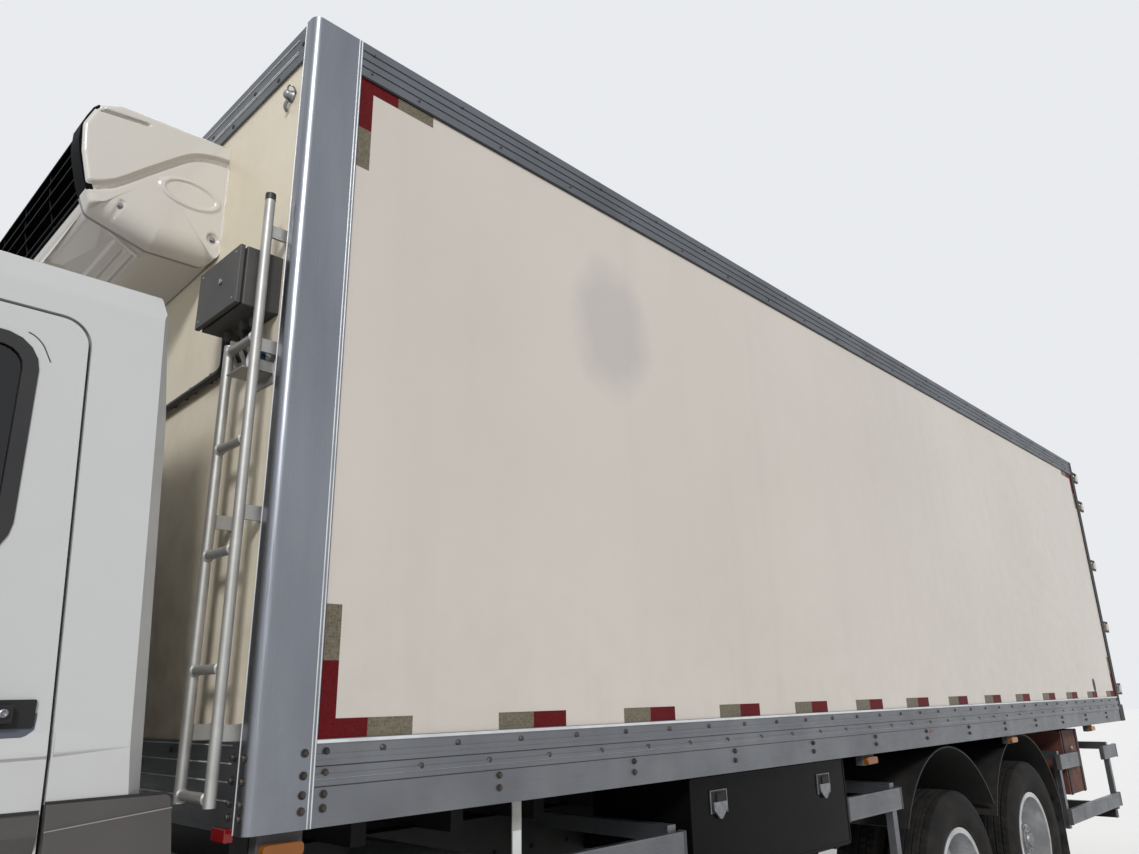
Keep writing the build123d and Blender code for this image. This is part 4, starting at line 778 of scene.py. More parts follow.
    # Powder coat: grey, matt, a little pebbled.
    BOX_GREY = Finish("steel_powder_coated_grey", "box_grey", "#3f3e3e", "#393838", 0.55, tone_mm=150,
        grain_mm=1.6, grain_deep_mm=0.08, dirt="#7a7264", dirt_share=0.25, dirt_top=3.2)
    # Red primer gone to rust: matt brown in dark and light patches.
    CABINET = Finish("steel_rusted_red_primer", "cabinet_brown", "#5c2f24", "#43241c", 0.7, 0.1, tone_mm=60,
        grain_mm=3, grain_deep_mm=0.2, dirt="#2f2a24", dirt_share=0.5)
    # Woven cloth and vinyl: dark and soft, seen only through the glass.
    INTERIOR = Finish("woven_seat_cloth_and_vinyl", "interior", "#3e4043", "#34363a", 0.85, 0.05, tone_mm=60,
        grain_mm=2.5, grain_deep_mm=0.4, dirt_share=0.1)
    # Reflective film without a lamp on it: dark, with its pale weld lines.
    TAPE_RED = PrismaticTape("reflective_film_red", "lamp_red", "#540b11", "#4a090e", 0.5, 0.05, grain_mm=9,
        dirt_share=0.08, specular=0.1, weld="#732429")
    TAPE_PALE = PrismaticTape("reflective_film_white", "steel", "#5a5444", "#524c3d", 0.5, 0.05, grain_mm=9,
        dirt_share=0.1, specular=0.2)
    # Blank vinyl film and white nylon: even and satin.
    WHITE_LABEL = Finish("vinyl_film_white_blank", "panel", "#c9cbcc", "#c2c4c5", 0.4, 0.04, grain_mm=10,
        grain_deep_mm=0.01, dirt_share=0.35)
    # PVC sheath: black with a soft sheen.
    CABLE = Finish("pvc_cable_sheath", "plastic_black", "#141415", "#1b1b1c", 0.45, tone_mm=60, grain_mm=1.0,
        grain_deep_mm=0.03, dirt_share=0.3, dirt_top=3.0)
    # Silvered glass: a clear reflection.
    MIRROR = Finish("glass_silvered", "steel", "#b9c0c4", "#b4bbbf", 0.03, 0.01, metal=1.0, tone_mm=900,
        grain_mm=400, grain_deep_mm=0.0, dirt_share=0.05)
    # Blue nylon of the inlet's ring: satin.
    BLUE = Finish("nylon_moulded_blue", "plastic_black", "#16405c", "#123650", 0.4, 0.06, tone_mm=60,
        grain_mm=1.0, grain_deep_mm=0.02, dirt_share=0.2, dirt_top=3.0)


def placed(name: str, data: Any) -> bpy.types.Object:
    """A new object of the data, put into the scene at the origin."""
    made = bpy.data.objects.new(name, data)
    bpy.context.scene.collection.objects.link(made)
    return made


class Workshop:
    """Makes each material once and puts pieces into the scene."""

    COPY_SHARP = 30.0
    WELD = 1e5

    def __init__(self) -> None:
        """Start with no materials and no pieces."""
        self.made: dict[Surface, bpy.types.Material] = {}
        self.pieces: dict[str, int] = {}

    def material(self, surface: Surface) -> bpy.types.Material:
        """The surface's material, built on first use."""
        if surface not in self.made:
            self.made[surface] = surface.value.build()
        return self.made[surface]

    def piece(self, name: str, shapes: Shape | Sequence[Shape], surface: Surface, body: str = "chassis",
            bevel: float = 0.0, sharp: float = 38.0, replaces: Sequence[str] = (),
            twin: bool = False) -> None:
        """Put one finished piece into the scene, at the origin, riding on its body.

        Args:
            name: piece name.
            shapes: its shape in the row frame, or several that are joined.
            surface: its finish.
            body: the CAD body that it rides on.
            bevel: width of rounded edges, in metres; 0 for none.
            sharp: edges steeper than this many degrees stay sharp.
            replaces: CAD nodes that it stands for.
            twin: whether its mirror image on the truck's right belongs to it.
        """
        shape = shapes if isinstance(shapes, Shape) else Shape.joined(shapes)
        if twin:
            shape = shape.pair()
        mesh = shape.mesh(name)
        mesh.shade_smooth()
        mesh.set_sharp_from_angle(angle=math.radians(sharp))
        mesh.materials.append(self.material(surface))
        made = placed(name, mesh)
        if bevel:
            edge = made.modifiers.new("edge", "BEVEL")
            edge.width, edge.segments, edge.limit_method = bevel, 2, "ANGLE"
            edge.angle_limit, edge.harden_normals = math.radians(sharp), True
        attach(made, body)
        if replaces:
            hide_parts(*replaces)
        self.pieces[name] = sum(len(part) * (part.shape[1] - 2) for part in shape.faces)

    def copy_of(self, node: str, surface: Surface) -> None:
        """Stand a merged copy of a CAD node in its place, so that its curves shade smoothly.

        Points that round to the same hundredth of a millimetre become one, and triangles that this
        closes up are left out.

        Args:
            node: the CAD node.
            surface: its finish.
        """
        mesh = frame["nodes"][node].data
        points = np.zeros(len(mesh.vertices) * 3)
        mesh.vertices.foreach_get("co", points)
        corners = np.zeros(len(mesh.loops), int)
        mesh.loops.foreach_get("vertex_index", corners)
        keys = np.round(points.reshape(-1, 3) * self.WELD).astype(np.int64)
        keys, index = np.unique(keys, axis=0, return_inverse=True)
        faces = index.reshape(-1)[corners.reshape(-1, 3)]
        whole = (faces != np.roll(faces, -1, 1)).all(1)
        shape = Shape(keys / self.WELD, [faces[whole]])
        body = frame["nodes"][node]["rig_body"]
        self.piece(node + ".skin", shape, surface, body, sharp=self.COPY_SHARP, replaces=(node,))

    def dress(self, node: str, surface: Surface) -> None:
        """Give a CAD node that is shown as it is its finish, through its material slots.

        Args:
            node: the CAD node.
            surface: its finish.
        """
        made = frame["nodes"][node]
        if not made.material_slots:
            made.data.materials.append(self.material(surface))
        for slot in made.material_slots:
            slot.material = self.material(surface)


@dataclass
class Assembly:
    """A group of pieces on the truck, all made through one workshop."""

    workshop: Workshop

    @property
    def make(self) -> Callable[..., None]:
        """Makes one piece from the arguments of Workshop.piece."""
        return self.workshop.piece

    def both(self, name: str, body: str, shapes: Shape | Sequence[Shape], surface: Surface,
            bevel: float = 0.0) -> None:
        """Make a piece on a left body and its mirror image on the right one.

        Args:
            name: piece name, which gets the side at its end.
            body: name of the bodies, without the side.
            shapes: the left piece.
            surface: its finish.
            bevel: width of rounded edges, in metres; 0 for none.
        """
        shape = shapes if isinstance(shapes, Shape) else Shape.joined(shapes)
        for side, sign in SIDES:
            self.make(f"{name}_{side}", shape.on_side(sign), surface, f"{body}_{side}", bevel=bevel)


# The insulated box


@dataclass
class EdgeRails(Assembly):
    """Fasteners and beads on the box's aluminium rails and corner posts.

    Heights are above the box's underside, distances run rearward from the side panel's front edge.
    """

    half: float = 1.300
    inner: float = 1.292
    front_edge: float = 3.020
    post_front: float = 3.200
    rear_edge: float = -5.120
    bottom: float = 1.280
    top: float = 3.735
    sunk: float = 0.004
    # Heads as (radius, height).
    rivet: Pair = (0.0095, 0.006)
    top_rivet: Pair = (0.006, 0.004)
    front_rivet: Pair = (0.009, 0.0045)
    bolt: Pair = (0.0075, 0.010)
    pitch: float = 0.255
    top_pitch: float = 0.386
    bolt_pitch: float = 0.640
    front_pitch: float = 0.344
    foot_bolts: Floats = (0.182, 0.130, 0.079, 0.045)
    post_bolts: Floats = (0.181, 0.127, 0.081, 0.043)
    front_bolts: Floats = (0.176, 0.122, 0.070, 0.038)
    band_tops: Pair = (1.4437, 1.3942)
    band_tall: float = 0.016
    front_beads: Floats = (1.483, 1.440, 1.396, 1.352, 3.642, 3.651, 3.697)

    @property
    def length(self) -> Pair:
        """The rails' run along X."""
        return (self.rear_edge, self.front_edge)

    def line(self, first: float, pitch: float, height: float, y: float) -> np.ndarray:
        """Evenly pitched places along the left rail: x = front edge - first - k * pitch.

        Args:
            first: distance of the first place.
            pitch: distance between places.
            height: z of the row.
            y: y of the row.

        Returns:
            (n, 3) places, the last at least 20 mm before the rear edge.
        """
        count = int((self.front_edge - first - self.rear_edge - 0.02) // pitch) + 1
        x = self.front_edge - first - pitch * np.arange(count)
        return np.stack([x, np.full(count, y), np.full(count, height)], 1)

    def side_rivets(self) -> list[Shape]:
        """Rivet rows of the left bottom and top rails, seated on the rails' outer faces."""
        web = self.half - self.sunk + 0.0005
        upper, lower = self.bottom + 0.183, self.bottom + 0.127
        low = [[[self.front_edge - 0.206, web, upper]], self.line(0.469, self.pitch, upper, web),
               self.line(0.337, self.pitch, lower, web)]
        high = [self.line(0.045, self.top_pitch, self.top - 0.030, self.half),
                [[self.front_edge - 0.040, self.half, self.top - 0.110]],
                self.line(0.236, self.top_pitch, self.top - 0.110, self.half)]
        return [heads(np.concatenate(low), "y", *self.rivet),
                heads(np.concatenate(high), "y", *self.top_rivet)]

    def side_bolts(self) -> Shape:
        """Bolt pairs that hold the left bottom rail to the bearers, and those at the post's foot."""
        web = self.half - self.sunk
        pairs = [self.line(0.632, self.bolt_pitch, self.bottom + z, web) for z in (0.081, 0.045)]
        foot = [[2.990, web, self.bottom + z] for z in self.foot_bolts]
        foot += [[3.053, self.half, self.bottom + z] for z in self.post_bolts]
        return bolts(np.concatenate([*pairs, foot]), "y", *self.bolt)

    def front_rivets(self) -> list[Shape]:
        """Rivets along the front rails, two staggered rows on the upper one, and bolts at the posts' feet."""
        x = self.post_front - 0.005
        rows = [(x, y, self.bottom + z) for z in (0.186, 0.050) for y in (0.80, 0.40, 0.0, -0.40, -0.80)]
        for nearest, z in ((1.2188, 3.668), (1.0553, 3.620)):
            side = nearest - self.front_pitch * np.arange(4)
            rows += [(x, y, z) for y in np.concatenate([side, -side])]
        posts = ((x, 1.206), (self.post_front - 0.002, 1.272))
        feet = [(front, side * y, self.bottom + z) for front, y in posts for z in self.front_bolts
                for side in (1, -1)]
        return [heads(rows, "x", *self.front_rivet), bolts(feet, "x", *self.bolt)]

    def ridges(self) -> list[Shape]:
        """Drawn beads on the left, which build colours as painted highlights: the bottom rail's top bead, the
        post's edge beads, two fine lines.
        """
        bead = self.half - 0.0005
        runs = [block(self.length, (self.inner, bead + 0.0012), (1.4825, 1.4915))]
        runs += [block((x, x + 0.0035), (bead - 0.01, bead + 0.0022), (self.bottom, self.top))
                for x in (self.front_edge + 0.002, self.front_edge + 0.012)]
        runs.append(block((self.post_front - 0.0015, self.post_front + 0.0018), (1.2425, 1.2455),
                (self.bottom, self.top - 0.002)))
        return runs + [block(self.length, (self.inner, bead), (z, z + 0.0022)) for z in (1.4435, 1.3940)]

    def build(self) -> None:
        """Make the fasteners, the beads in painted-highlight colour, the two bands below them with a painted
        shadow under each, and the sealant.
        """
        for name, shapes in (("rail_rivets", self.side_rivets()), ("rail_bolts", self.side_bolts())):
            self.make(name, shapes, Surface.DARK_BOLT, twin=True)
        self.make("front_rail_fasteners", self.front_rivets(), Surface.DARK_BOLT)
        # The beads take the bright colour of painted highlights.
        self.make("rail_beads", self.ridges(), Surface.BEAD, bevel=0.001, twin=True)
        bands = [block(self.length, (self.inner, self.half - 0.0012), (z - self.band_tall, z))
                for z in self.band_tops]
        self.make("rail_bands", bands, Surface.ALUMINIUM, bevel=0.0006, twin=True)
        # A thin dark strip under each band: painted shadow below its lower edge.
        painted_shadow = [block(self.length, (self.inner, self.half - 0.0022),
                (z - self.band_tall - 0.0025, z - self.band_tall)) for z in self.band_tops]
        self.make("rail_band_grime", painted_shadow, Surface.RUBBER, twin=True)
        # Bright lines across the front rail: painted highlights on its ridges.
        lines = [block((self.post_front - 0.008, self.post_front - 0.0025), (-1.19, 1.19), (z, z + 0.003))
                for z in self.front_beads]
        self.make("front_rail_beads", lines, Surface.BEAD)
        seam = block(self.length, (1.2915, 1.2985), (3.595, 3.6005))
        self.make("roof_rail_sealant", seam, Surface.RUBBER, twin=True)
        upright = block((3.0165, 3.0198), (1.2915, 1.2955), (1.493, 3.601))
        self.make("post_sealant", upright, Surface.RUBBER, twin=True)


@dataclass
class ReflectiveTape(Assembly):
    """Red and pale reflective film along the sides, and corner marks."""

    front_edge: float = 3.020
    rear_edge: float = -5.120
    faces: Pair = (1.2920, 1.2928)
    wide: float = 0.050
    half_long: float = 0.150
    first: float = 0.632
    pitch: float = 0.600
    count: int = 12
    low: float = 1.4935
    high: float = 3.601
    corner_gap: float = 0.004

    def build(self) -> None:
        """Lay the marks: pale towards the front and red behind it, then pairs both ways from each corner."""
        pale, red = [], []
        z = (self.low, self.low + self.wide)
        for x in self.front_edge - self.first - np.arange(self.count) * self.pitch:
            pale.append(block((x - self.half_long, x), self.faces, z))
            red.append(block((x - 2 * self.half_long, x - self.half_long), self.faces, z))
        for edge, inward in ((self.front_edge - self.corner_gap, -1), (self.rear_edge + self.corner_gap, 1)):
            for level, rise in ((self.low, 1), (self.high, -1)):
                for away, coats in ((0.0, red), (self.half_long, pale)):
                    x = sorted((edge + inward * away, edge + inward * (away + self.half_long)))
                    coats.append(block(x, self.faces, sorted((level, level + rise * self.wide))))
                    x = sorted((edge, edge + inward * self.wide))
                    start = self.wide + away
                    ends = sorted((level + rise * start, level + rise * (start + self.half_long)))
                    coats.append(block(x, self.faces, ends))
        self.make("tape_red", red, Surface.TAPE_RED, twin=True)
        self.make("tape_pale", pale, Surface.TAPE_PALE, twin=True)


@dataclass
class SideFittings(Assembly):
    """Small fittings on the side panels and below the rails."""

    vent: Triple = (-4.47, 0.0, 1.596)
    vent_half: Pair = (0.055, 0.030)
    vent_rings: Pairs = ((1.0, 1.2915), (1.0, 1.2955), (0.82, 1.2975), (0.2, 1.2965))
    markers: Pairs = ((3.085, 1.220), (-0.13, 1.232), (-2.26, 1.232), (-4.2, 1.232))
    marker_half: float = 0.055
    marker_tall: float = 0.034

    def build(self) -> None:
        """The black oval vent plug, the red tag on the rail, side marker lamps and the foot lamp."""
        oval = circle(1.0, 24) * self.vent_half
        rings = [place_flat(oval * scale, "y", level) + self.vent for scale, level in self.vent_rings]
        self.make("vent_plug", lidded(np.stack(rings)), Surface.RUBBER, twin=True)
        tag = block((-0.925, -0.865), (1.2955, 1.2972), (1.350, 1.368))
        self.make("rail_tag", tag, Surface.LAMP_RED, bevel=0.0006, twin=True)
        lamps, bases = [], []
        for x, z in self.markers:
            outline = box_outline((x - self.marker_half, x + self.marker_half), (z, z + self.marker_tall),
                    0.012, 3)
            lamps.append(side_prism(outline, 1.262, 1.290))
            bases.append(block((x - 0.062, x + 0.062), (1.225, 1.264), (z - 0.006, 1.2795)))
        self.make("marker_lenses", lamps, Surface.LAMP_AMBER, bevel=0.003, twin=True)
        self.make("marker_bases", bases, Surface.PLASTIC, bevel=0.002, twin=True)
        foot = block((3.188, 3.213), (1.150, 1.226), (1.262, 1.294))
        self.make("front_foot_lamp", foot, Surface.LAMP_RED, bevel=0.003, twin=True)


@dataclass
class FrontWallFittings(Assembly):
    """Wiring, inlet, clips and the round fitting on the front wall."""

    face: float = 3.185
    # The loom's line: distance from its straight run off the wall, y and z.
    route: Triples = (
        (0.032, 0.956, 2.705), (0.025, 0.942, 2.660), (0.009, 0.908, 2.616), (0, 0.870, 2.600),
        (0, 0.780, 2.597), (0, 0.640, 2.592), (0, 0.540, 2.589), (0, 0.437, 2.584), (0, 0.20, 2.58),
        (0, 0.10, 2.56), (0, 0.08, 2.48), (0, 0.08, 2.2), (0, 0.08, 1.6), (0, 0.08, 1.32))
    ties: Pairs = ((0.885, 2.628), (0.797, 2.610), (0.764, 2.606), (0.642, 2.603), (0.571, 2.599),
            (0.477, 2.596), (0.330, 2.592), (0.200, 2.590))
    clips: Floats = (2.3, 1.95, 1.6, 1.42)
    drops: Pairs = ((3.22, 1.035), (3.24, 1.085), (3.23, 1.13))
    inlet: Triple = (3.189, 1.159, 2.548)
    knob: Pair = (1.157, 3.497)

    def wiring(self) -> list[Shape]:
        """The loom, a thinner lead beside it, and three leads that drop from the switch box."""
        along = (1, 0.02, 0.03)
        line = np.array(self.route, float) + (self.face + 0.018, 0, 0)
        made = [tube(smooth_path(line, 110), 0.0115, 12, along),
                tube(smooth_path(line[:-1] + (-0.004, 0.010, 0.013), 90), 0.0055, 8, along)]
        for x, y in self.drops:
            path = [(x, y, 2.695), (x, y + 0.004, 2.65), (3.238, y + 0.01, 2.61), (3.222, y + 0.015, 2.572)]
            made.append(tube(smooth_path(path, 16), 0.006, 8, (0, 1, 0.1)))
        return made

    def fitting(self) -> list[Shape]:
        """The round knob high on the wall, its wire loop and its lead."""
        y, z = self.knob
        knob = lathe([(-0.002, 0.020), (0.006, 0.021), (0.012, 0.016), (0.024, 0.015), (0.030, 0.011),
                (0.033, 0.004)], (self.face, y, z), "x", 20)
        wire = smooth_path([(3.205, y, z), (3.215, 1.175, 3.52), (3.2, 1.188, 3.515), (3.187, 1.18, 3.5)], 16)
        drop = smooth_path([(3.2, 1.15, 3.48), (3.204, 1.14, 3.46), (3.19, 1.135, 3.45)], 10)
        return [knob, tube(wire, 0.003, 8, (1, 0.1, 0)), tube(drop, 0.006, 8, (1, 0.1, 0))]

    def build(self) -> None:
        """Wiring and its clips, the inlet on its bracket, and the top fitting."""
        self.make("wall_wiring", self.wiring(), Surface.CABLE)
        clips = [block((self.face - 0.001, self.face + 0.024), (y - 0.006, y + 0.006), (z - 0.014, z + 0.004))
                for y, z in self.ties]
        clips += [block((self.face - 0.001, self.face + 0.031), (0.062, 0.098), (z, z + 0.012))
                for z in self.clips]
        self.make("wall_clips", clips, Surface.RUBBER, bevel=0.003)
        plates = [block((3.187, 3.280), (1.100, 1.204), (2.498, 2.502)),
                block((3.187, 3.238), (1.200, 1.204), (2.498, 2.535)),
                block((3.185, 3.189), (1.100, 1.210), (2.470, 2.600))]
        self.make("inlet_bracket", plates, Surface.LADDER, bevel=0.0012)
        socket = lathe([(-0.018, 0.022), (-0.002, 0.023), (0.014, 0.0285), (0.046, 0.030), (0.050, 0.029),
                (0.051, 0.024), (0.030, 0.021)], self.inlet, "x", 28)
        self.make("mains_inlet", socket, Surface.WHITE_LABEL)
        ring = lathe([(0.020, 0.026), (0.021, 0.0365), (0.039, 0.0365), (0.041, 0.0285)], self.inlet, "x", 28,
                loop=True)
        self.make("inlet_ring", ring, Surface.BLUE)
        self.make("wall_fitting", self.fitting(), Surface.STEEL)


@dataclass
class Ladder(Assembly):
    """Weld collars, bracket feet and their bolts on the front-wall ladder."""

    line_x: float = 3.255
    outer_y: float = 1.222
    inner_y: float = 1.042
    rungs: Floats = (1.365, 1.6725, 1.980, 2.2875, 2.595)
    brackets: Floats = (1.5165, 2.0803, 2.5706)
    top_bracket: float = 2.940

    def build(self) -> None:
        """Collars where rungs meet the rails, a plug in the outer rail, bolted feet behind the brackets."""
        self.workshop.copy_of("ladder", Surface.LADDER)
        _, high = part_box("ladder")
        front, top = float(high[0]), float(high[2])
        ends = [(self.line_x, self.outer_y, top + z) for z in (-0.020, 0.003)]
        plug = tube(ends, front - self.line_x + 0.0008, 20, (1, 0, 0))
        self.make("ladder_plug", plug, Surface.RUBBER, bevel=0.001)
        weld = lathe([(-0.004, 0.0135), (0.0, 0.0175), (0.004, 0.0135)], (0, 0, 0), "y", 14)
        spots = [(self.line_x, y, z) for z in self.rungs
                for y in (self.outer_y - 0.016, self.inner_y + 0.016)]
        self.make("ladder_welds", weld.copies(spots), Surface.LADDER)
        seats = [(y, z) for z in self.brackets for y in (self.outer_y, self.inner_y)]
        seats.append((self.outer_y, self.top_bracket))
        feet = [block((3.1845, 3.189), (y - 0.020, y + 0.020), (z - 0.021, z + 0.021)) for y, z in seats]
        self.make("ladder_feet", feet, Surface.LADDER, bevel=0.001)
        spots = [(3.189, y + dy, z) for y, z in seats for dy in (-0.0125, 0.0125)]
        self.make("ladder_bolts", bolts(spots, "x", 0.0042, 0.005), Surface.STEEL)


@dataclass
class ElectricBox(Assembly):
    """Two-part switch box on the front wall: a body, a lipped door, a latch and glands."""

    x: Pair = (3.185, 3.320)
    y: Pair = (0.920, 1.200)
    z: Pair = (2.690, 2.880)
    split_x: float = 3.298
    gap: float = 0.006
    inset: float = 0.008
    glands: Pairs = ((3.236, 0.975), (3.22, 1.035), (3.24, 1.085), (3.23, 1.13))

    def build(self) -> None:
        """Body against the wall, door over it with a shadow gap between."""
        depths = ((self.x[0], self.split_x), (self.split_x + self.gap, self.x[1]))
        case = [block(x, self.y, self.z) for x in depths]
        self.make("switch_box", case, Surface.BOX_GREY, bevel=0.004, replaces=("electric_box",))
        core = block((self.split_x - 0.002, self.split_x + self.inset),
                (self.y[0] + self.inset, self.y[1] - self.inset),
                (self.z[0] + self.inset, self.z[1] - self.inset))
        self.make("switch_box_seal", core, Surface.RUBBER)
        front = self.x[1]
        latch = lathe([(-0.002, 0.009), (0.003, 0.009), (0.005, 0.007), (0.004, 0.003)],
                (front, 1.085, 2.795), "x", 16)
        bar = block((front + 0.001, front + 0.006), (1.081, 1.089), (2.786, 2.804))
        screws = heads([(front, y, z) for y in (0.945, 1.175) for z in (2.71, 2.86)], "x", 0.005, 0.003)
        hinges = [tube([(3.301, 0.9185, z), (3.301, 0.9185, z + 0.03)], 0.005, 10, (1, 0, 0))
                for z in (2.715, 2.83)]
        self.make("switch_box_fittings", [latch, bar, screws, *hinges], Surface.STEEL, bevel=0.0008)
        nut = lathe([(-0.030, 0.008), (-0.022, 0.012), (-0.010, 0.014), (0.002, 0.013)], (0, 0, 0), "z", 6)
        spots = [(x, y, self.z[0]) for x, y in self.glands]
        self.make("switch_box_glands", nut.copies(spots), Surface.PLASTIC, bevel=0.001)


@dataclass
class CoolingUnit(Assembly):
    """Nose-mounted cooling unit: two moulded end caps, a body with a louvre, and a moulded pan."""

    half: float = 0.700
    cap: float = 0.080
    wall: float = 3.185
    middle: Pair = (3.41, 3.31)
    sides: int = 300
    rings: int = 84
    seam: Pairs = ((3.625, 3.183), (3.577, 3.203), (3.533, 3.231), (3.472, 3.292), (3.405, 3.356),
            (3.350, 3.408), (3.308, 3.441), (3.252, 3.462), (3.185, 3.470))
    slot: Pairs = ((3.622, 3.471), (3.475, 3.489))
    sockets: Pairs = ((3.517, 3.158), (3.211, 3.153))
    # The oval ridge: its middle in x and z, its half width and half height.
    ridge: tuple[float, float, float, float] = (3.304, 3.290, 0.097, 0.048)
    # The front's line as (z, x); the frame beside the louvre down its outer and up its inner edge.
    front: Pairs = ((3.170, 3.622), (3.300, 3.655), (3.400, 3.665), (3.488, 3.632))
    frame_edge: Pairs = (
        (3.628, 3.494), (3.642, 3.476), (3.656, 3.440), (3.669, 3.400), (3.668, 3.340), (3.661, 3.300),
        (3.637, 3.210), (3.622, 3.172), (3.602, 3.180), (3.614, 3.212), (3.639, 3.300), (3.646, 3.340),
        (3.646, 3.400), (3.636, 3.436), (3.624, 3.466), (3.610, 3.484))
    core: Pairs = ((3.185, 3.538), (3.555, 3.521), (3.600, 3.506), (3.618, 3.494), (3.585, 3.484),
            (3.585, 3.186), (3.614, 3.172), (3.604, 3.135), (3.585, 3.118), (3.185, 3.095))

    def profile(self) -> np.ndarray:
        """The unit's side outline in (x, z), clockwise from the top at the wall."""
        return rounded([(self.wall, 3.540, 0), (3.560, 3.523, 0.05), (3.632, 3.488, 0.04),
                (3.665, 3.400, 0.05), (3.655, 3.300, 0.1), (3.622, 3.170, 0.02),
                (3.600, 3.118, 0.03), (3.400, 3.060, 0.05), (self.wall + 0.001, 3.065, 0.045),
                (self.wall, 3.120, 0)], 7)

    def relief(self, flat: np.ndarray) -> np.ndarray:
        """How far the cap's side face stands out.

        The half below the seam lies deeper; the seam, slot and sockets are cut in, each with eased
        sides, and the oval ridge stands out where the scaled distance to its centre is near one.

        Args:
            flat: (n, 2) places in (x, z).

        Returns:
            (n,) heights.
        """
        seam = smooth_path(self.seam, 26)
        below = np.interp(flat[:, 0], seam[::-1, 0], seam[::-1, 1]) - flat[:, 1]
        cuts = [-0.013 * (1 - ease(distance_to(flat, seam), 0.007, 0.015)),
                -0.011 * (1 - ease(distance_to(flat, self.slot), 0.004, 0.008))]
        cuts += [-0.008 * (1 - ease(np.linalg.norm(flat - np.array(spot), axis=1), 0.017, 0.023))
                for spot in self.sockets]
        across, up, wide, tall = self.ridge
        oval = np.hypot((flat[:, 0] - across) / wide, (flat[:, 1] - up) / tall)
        raised = 0.005 * (1 - ease(np.abs(oval - 1) * tall, 0.002, 0.008))
        return -0.009 * ease(below, -0.004, 0.010) + np.min(cuts, axis=0) + raised

    def end_cap(self) -> Shape:
        """The left cap: rings over its face, round its edge and back along its flank.

        The edge's radius is 17 mm, 80 mm towards the underside and 1 mm at the wall. A face ring is a
        share of the way from the middle to the edge; an edge ring turns by an angle about the radius.

        Returns:
            The closed solid.
        """
        edge = evenly(self.profile(), self.sides)
        normal = outward(edge)
        bend = (0.016 + 0.064 * ease(-normal[:, 1], 0.2, 0.9)) * (1 - ease(-normal[:, 0], 0.5, 0.9)) + 0.001
        inner = edge - normal * bend[:, None]
        centre = np.asarray(self.middle)
        rings = []
        for share in np.linspace(0.03, 1.0, self.rings):
            flat = centre + share * (inner - centre)
            level = self.half - 0.003 * share ** 2 + self.relief(flat)
            rings.append(np.stack([flat[:, 0], level, flat[:, 1]], 1))
        lip = self.relief(inner)
        for angle in np.linspace(0, math.pi / 2, 9)[1:]:
            flat = inner + normal * bend[:, None] * math.sin(angle)
            level = self.half - 0.003 + lip * math.cos(angle) - 0.9 * bend * (1 - math.cos(angle))
            rings.append(np.stack([flat[:, 0], np.maximum(level, self.half - self.cap), flat[:, 1]], 1))
        rings.append(np.stack([edge[:, 0], np.full(self.sides, self.half - self.cap), edge[:, 1]], 1))
        return lidded(np.stack(rings[::-1]))

    def pan(self) -> Shape:
        """The moulded underside: a height field with a recessed panel, two grooves and a ridge a side.

        The level rises with the square of y and towards the front; each feature adds its depth where
        the distance to its line is small. The rim's points are doubled and lifted to make its wall.

        Returns:
            The open sheet, whose rim lies inside the unit.
        """
        x, y = np.linspace(3.19, 3.604, 110), np.linspace(-0.612, 0.612, 320)
        x, y = np.meshgrid(x, y, indexing="ij")
        away = np.abs(y)
        level = 3.062 + 0.028 * (away / 0.66) ** 2 + 0.050 * ease(x, 3.36, 3.61)
        corner = np.hypot(np.maximum(np.abs(x - 3.540) - 0.045, 0),
                np.maximum(np.abs(away - 0.365) - 0.160, 0))
        level += 0.009 * (1 - ease(corner, 0.012, 0.020))
        for groove in (3.440, 3.405):
            level += 0.005 * (1 - ease(np.abs(x - groove), 0.002, 0.006)) * (1 - ease(away, 0.50, 0.52))
        flat = np.stack([x.ravel(), away.ravel()], 1)
        ridge = distance_to(flat, [(3.57, 0.60), (3.40, 0.53)]).reshape(x.shape)
        level -= 0.006 * (1 - ease(ridge, 0.003, 0.011))
        points = np.pad(np.stack([x, y, level], -1), ((1, 1), (1, 1), (0, 0)), "edge")
        for side in (0, -1):
            points[side, :, 2] += 0.035
            points[:, side, 2] += 0.035
        return grid(points)

    def face(self, z: Any) -> np.ndarray:
        """X of the unit's front at a height."""
        line = np.asarray(self.front)
        return np.interp(z, line[:, 0], line[:, 1]) - 0.005

    def louvre(self) -> list[Shape]:
        """Slanted blades, five uprights behind their front edges, and the rails above and below them."""
        parts = []
        for z in np.linspace(3.205, 3.445, 6):
            x = float(self.face(z))
            blade = [(x, z - 0.004), (x, z + 0.005), (x - 0.05, z + 0.030), (x - 0.05, z + 0.021)]
            parts.append(side_prism(blade, -0.610, 0.610))
        levels = np.linspace(3.172, 3.487, 14)
        front = np.stack([self.face(levels), levels], 1)
        for y, wide, deep in ((-0.606, 0.008, 0.0), (-0.305, 0.006, 0.006), (0.0, 0.006, 0.006),
                (0.305, 0.006, 0.006), (0.606, 0.008, 0.0)):
            strip = np.concatenate([front - (deep, 0), (front - (0.030, 0))[::-1]])
            parts.append(side_prism(strip, y - wide, y + wide))
        for z in (3.180, 3.480):
            x = float(self.face(z))
            parts.append(block((x - 0.03, x), (-0.612, 0.612), (z - 0.007, z + 0.007)))
        return parts

    def coil(self) -> list[Shape]:
        """The condenser behind the louvre: 200 thin upright fins over header tubes."""
        fin = block((3.586, 3.592), (-0.0008, 0.0008), (3.19, 3.48))
        tubes = [tube([(3.594, -0.6, z), (3.594, 0.6, z)], 0.004, 8) for z in np.linspace(3.205, 3.465, 9)]
        return [fin.copies([(0, y, 0) for y in np.linspace(-0.59, 0.59, 200)]), *tubes]

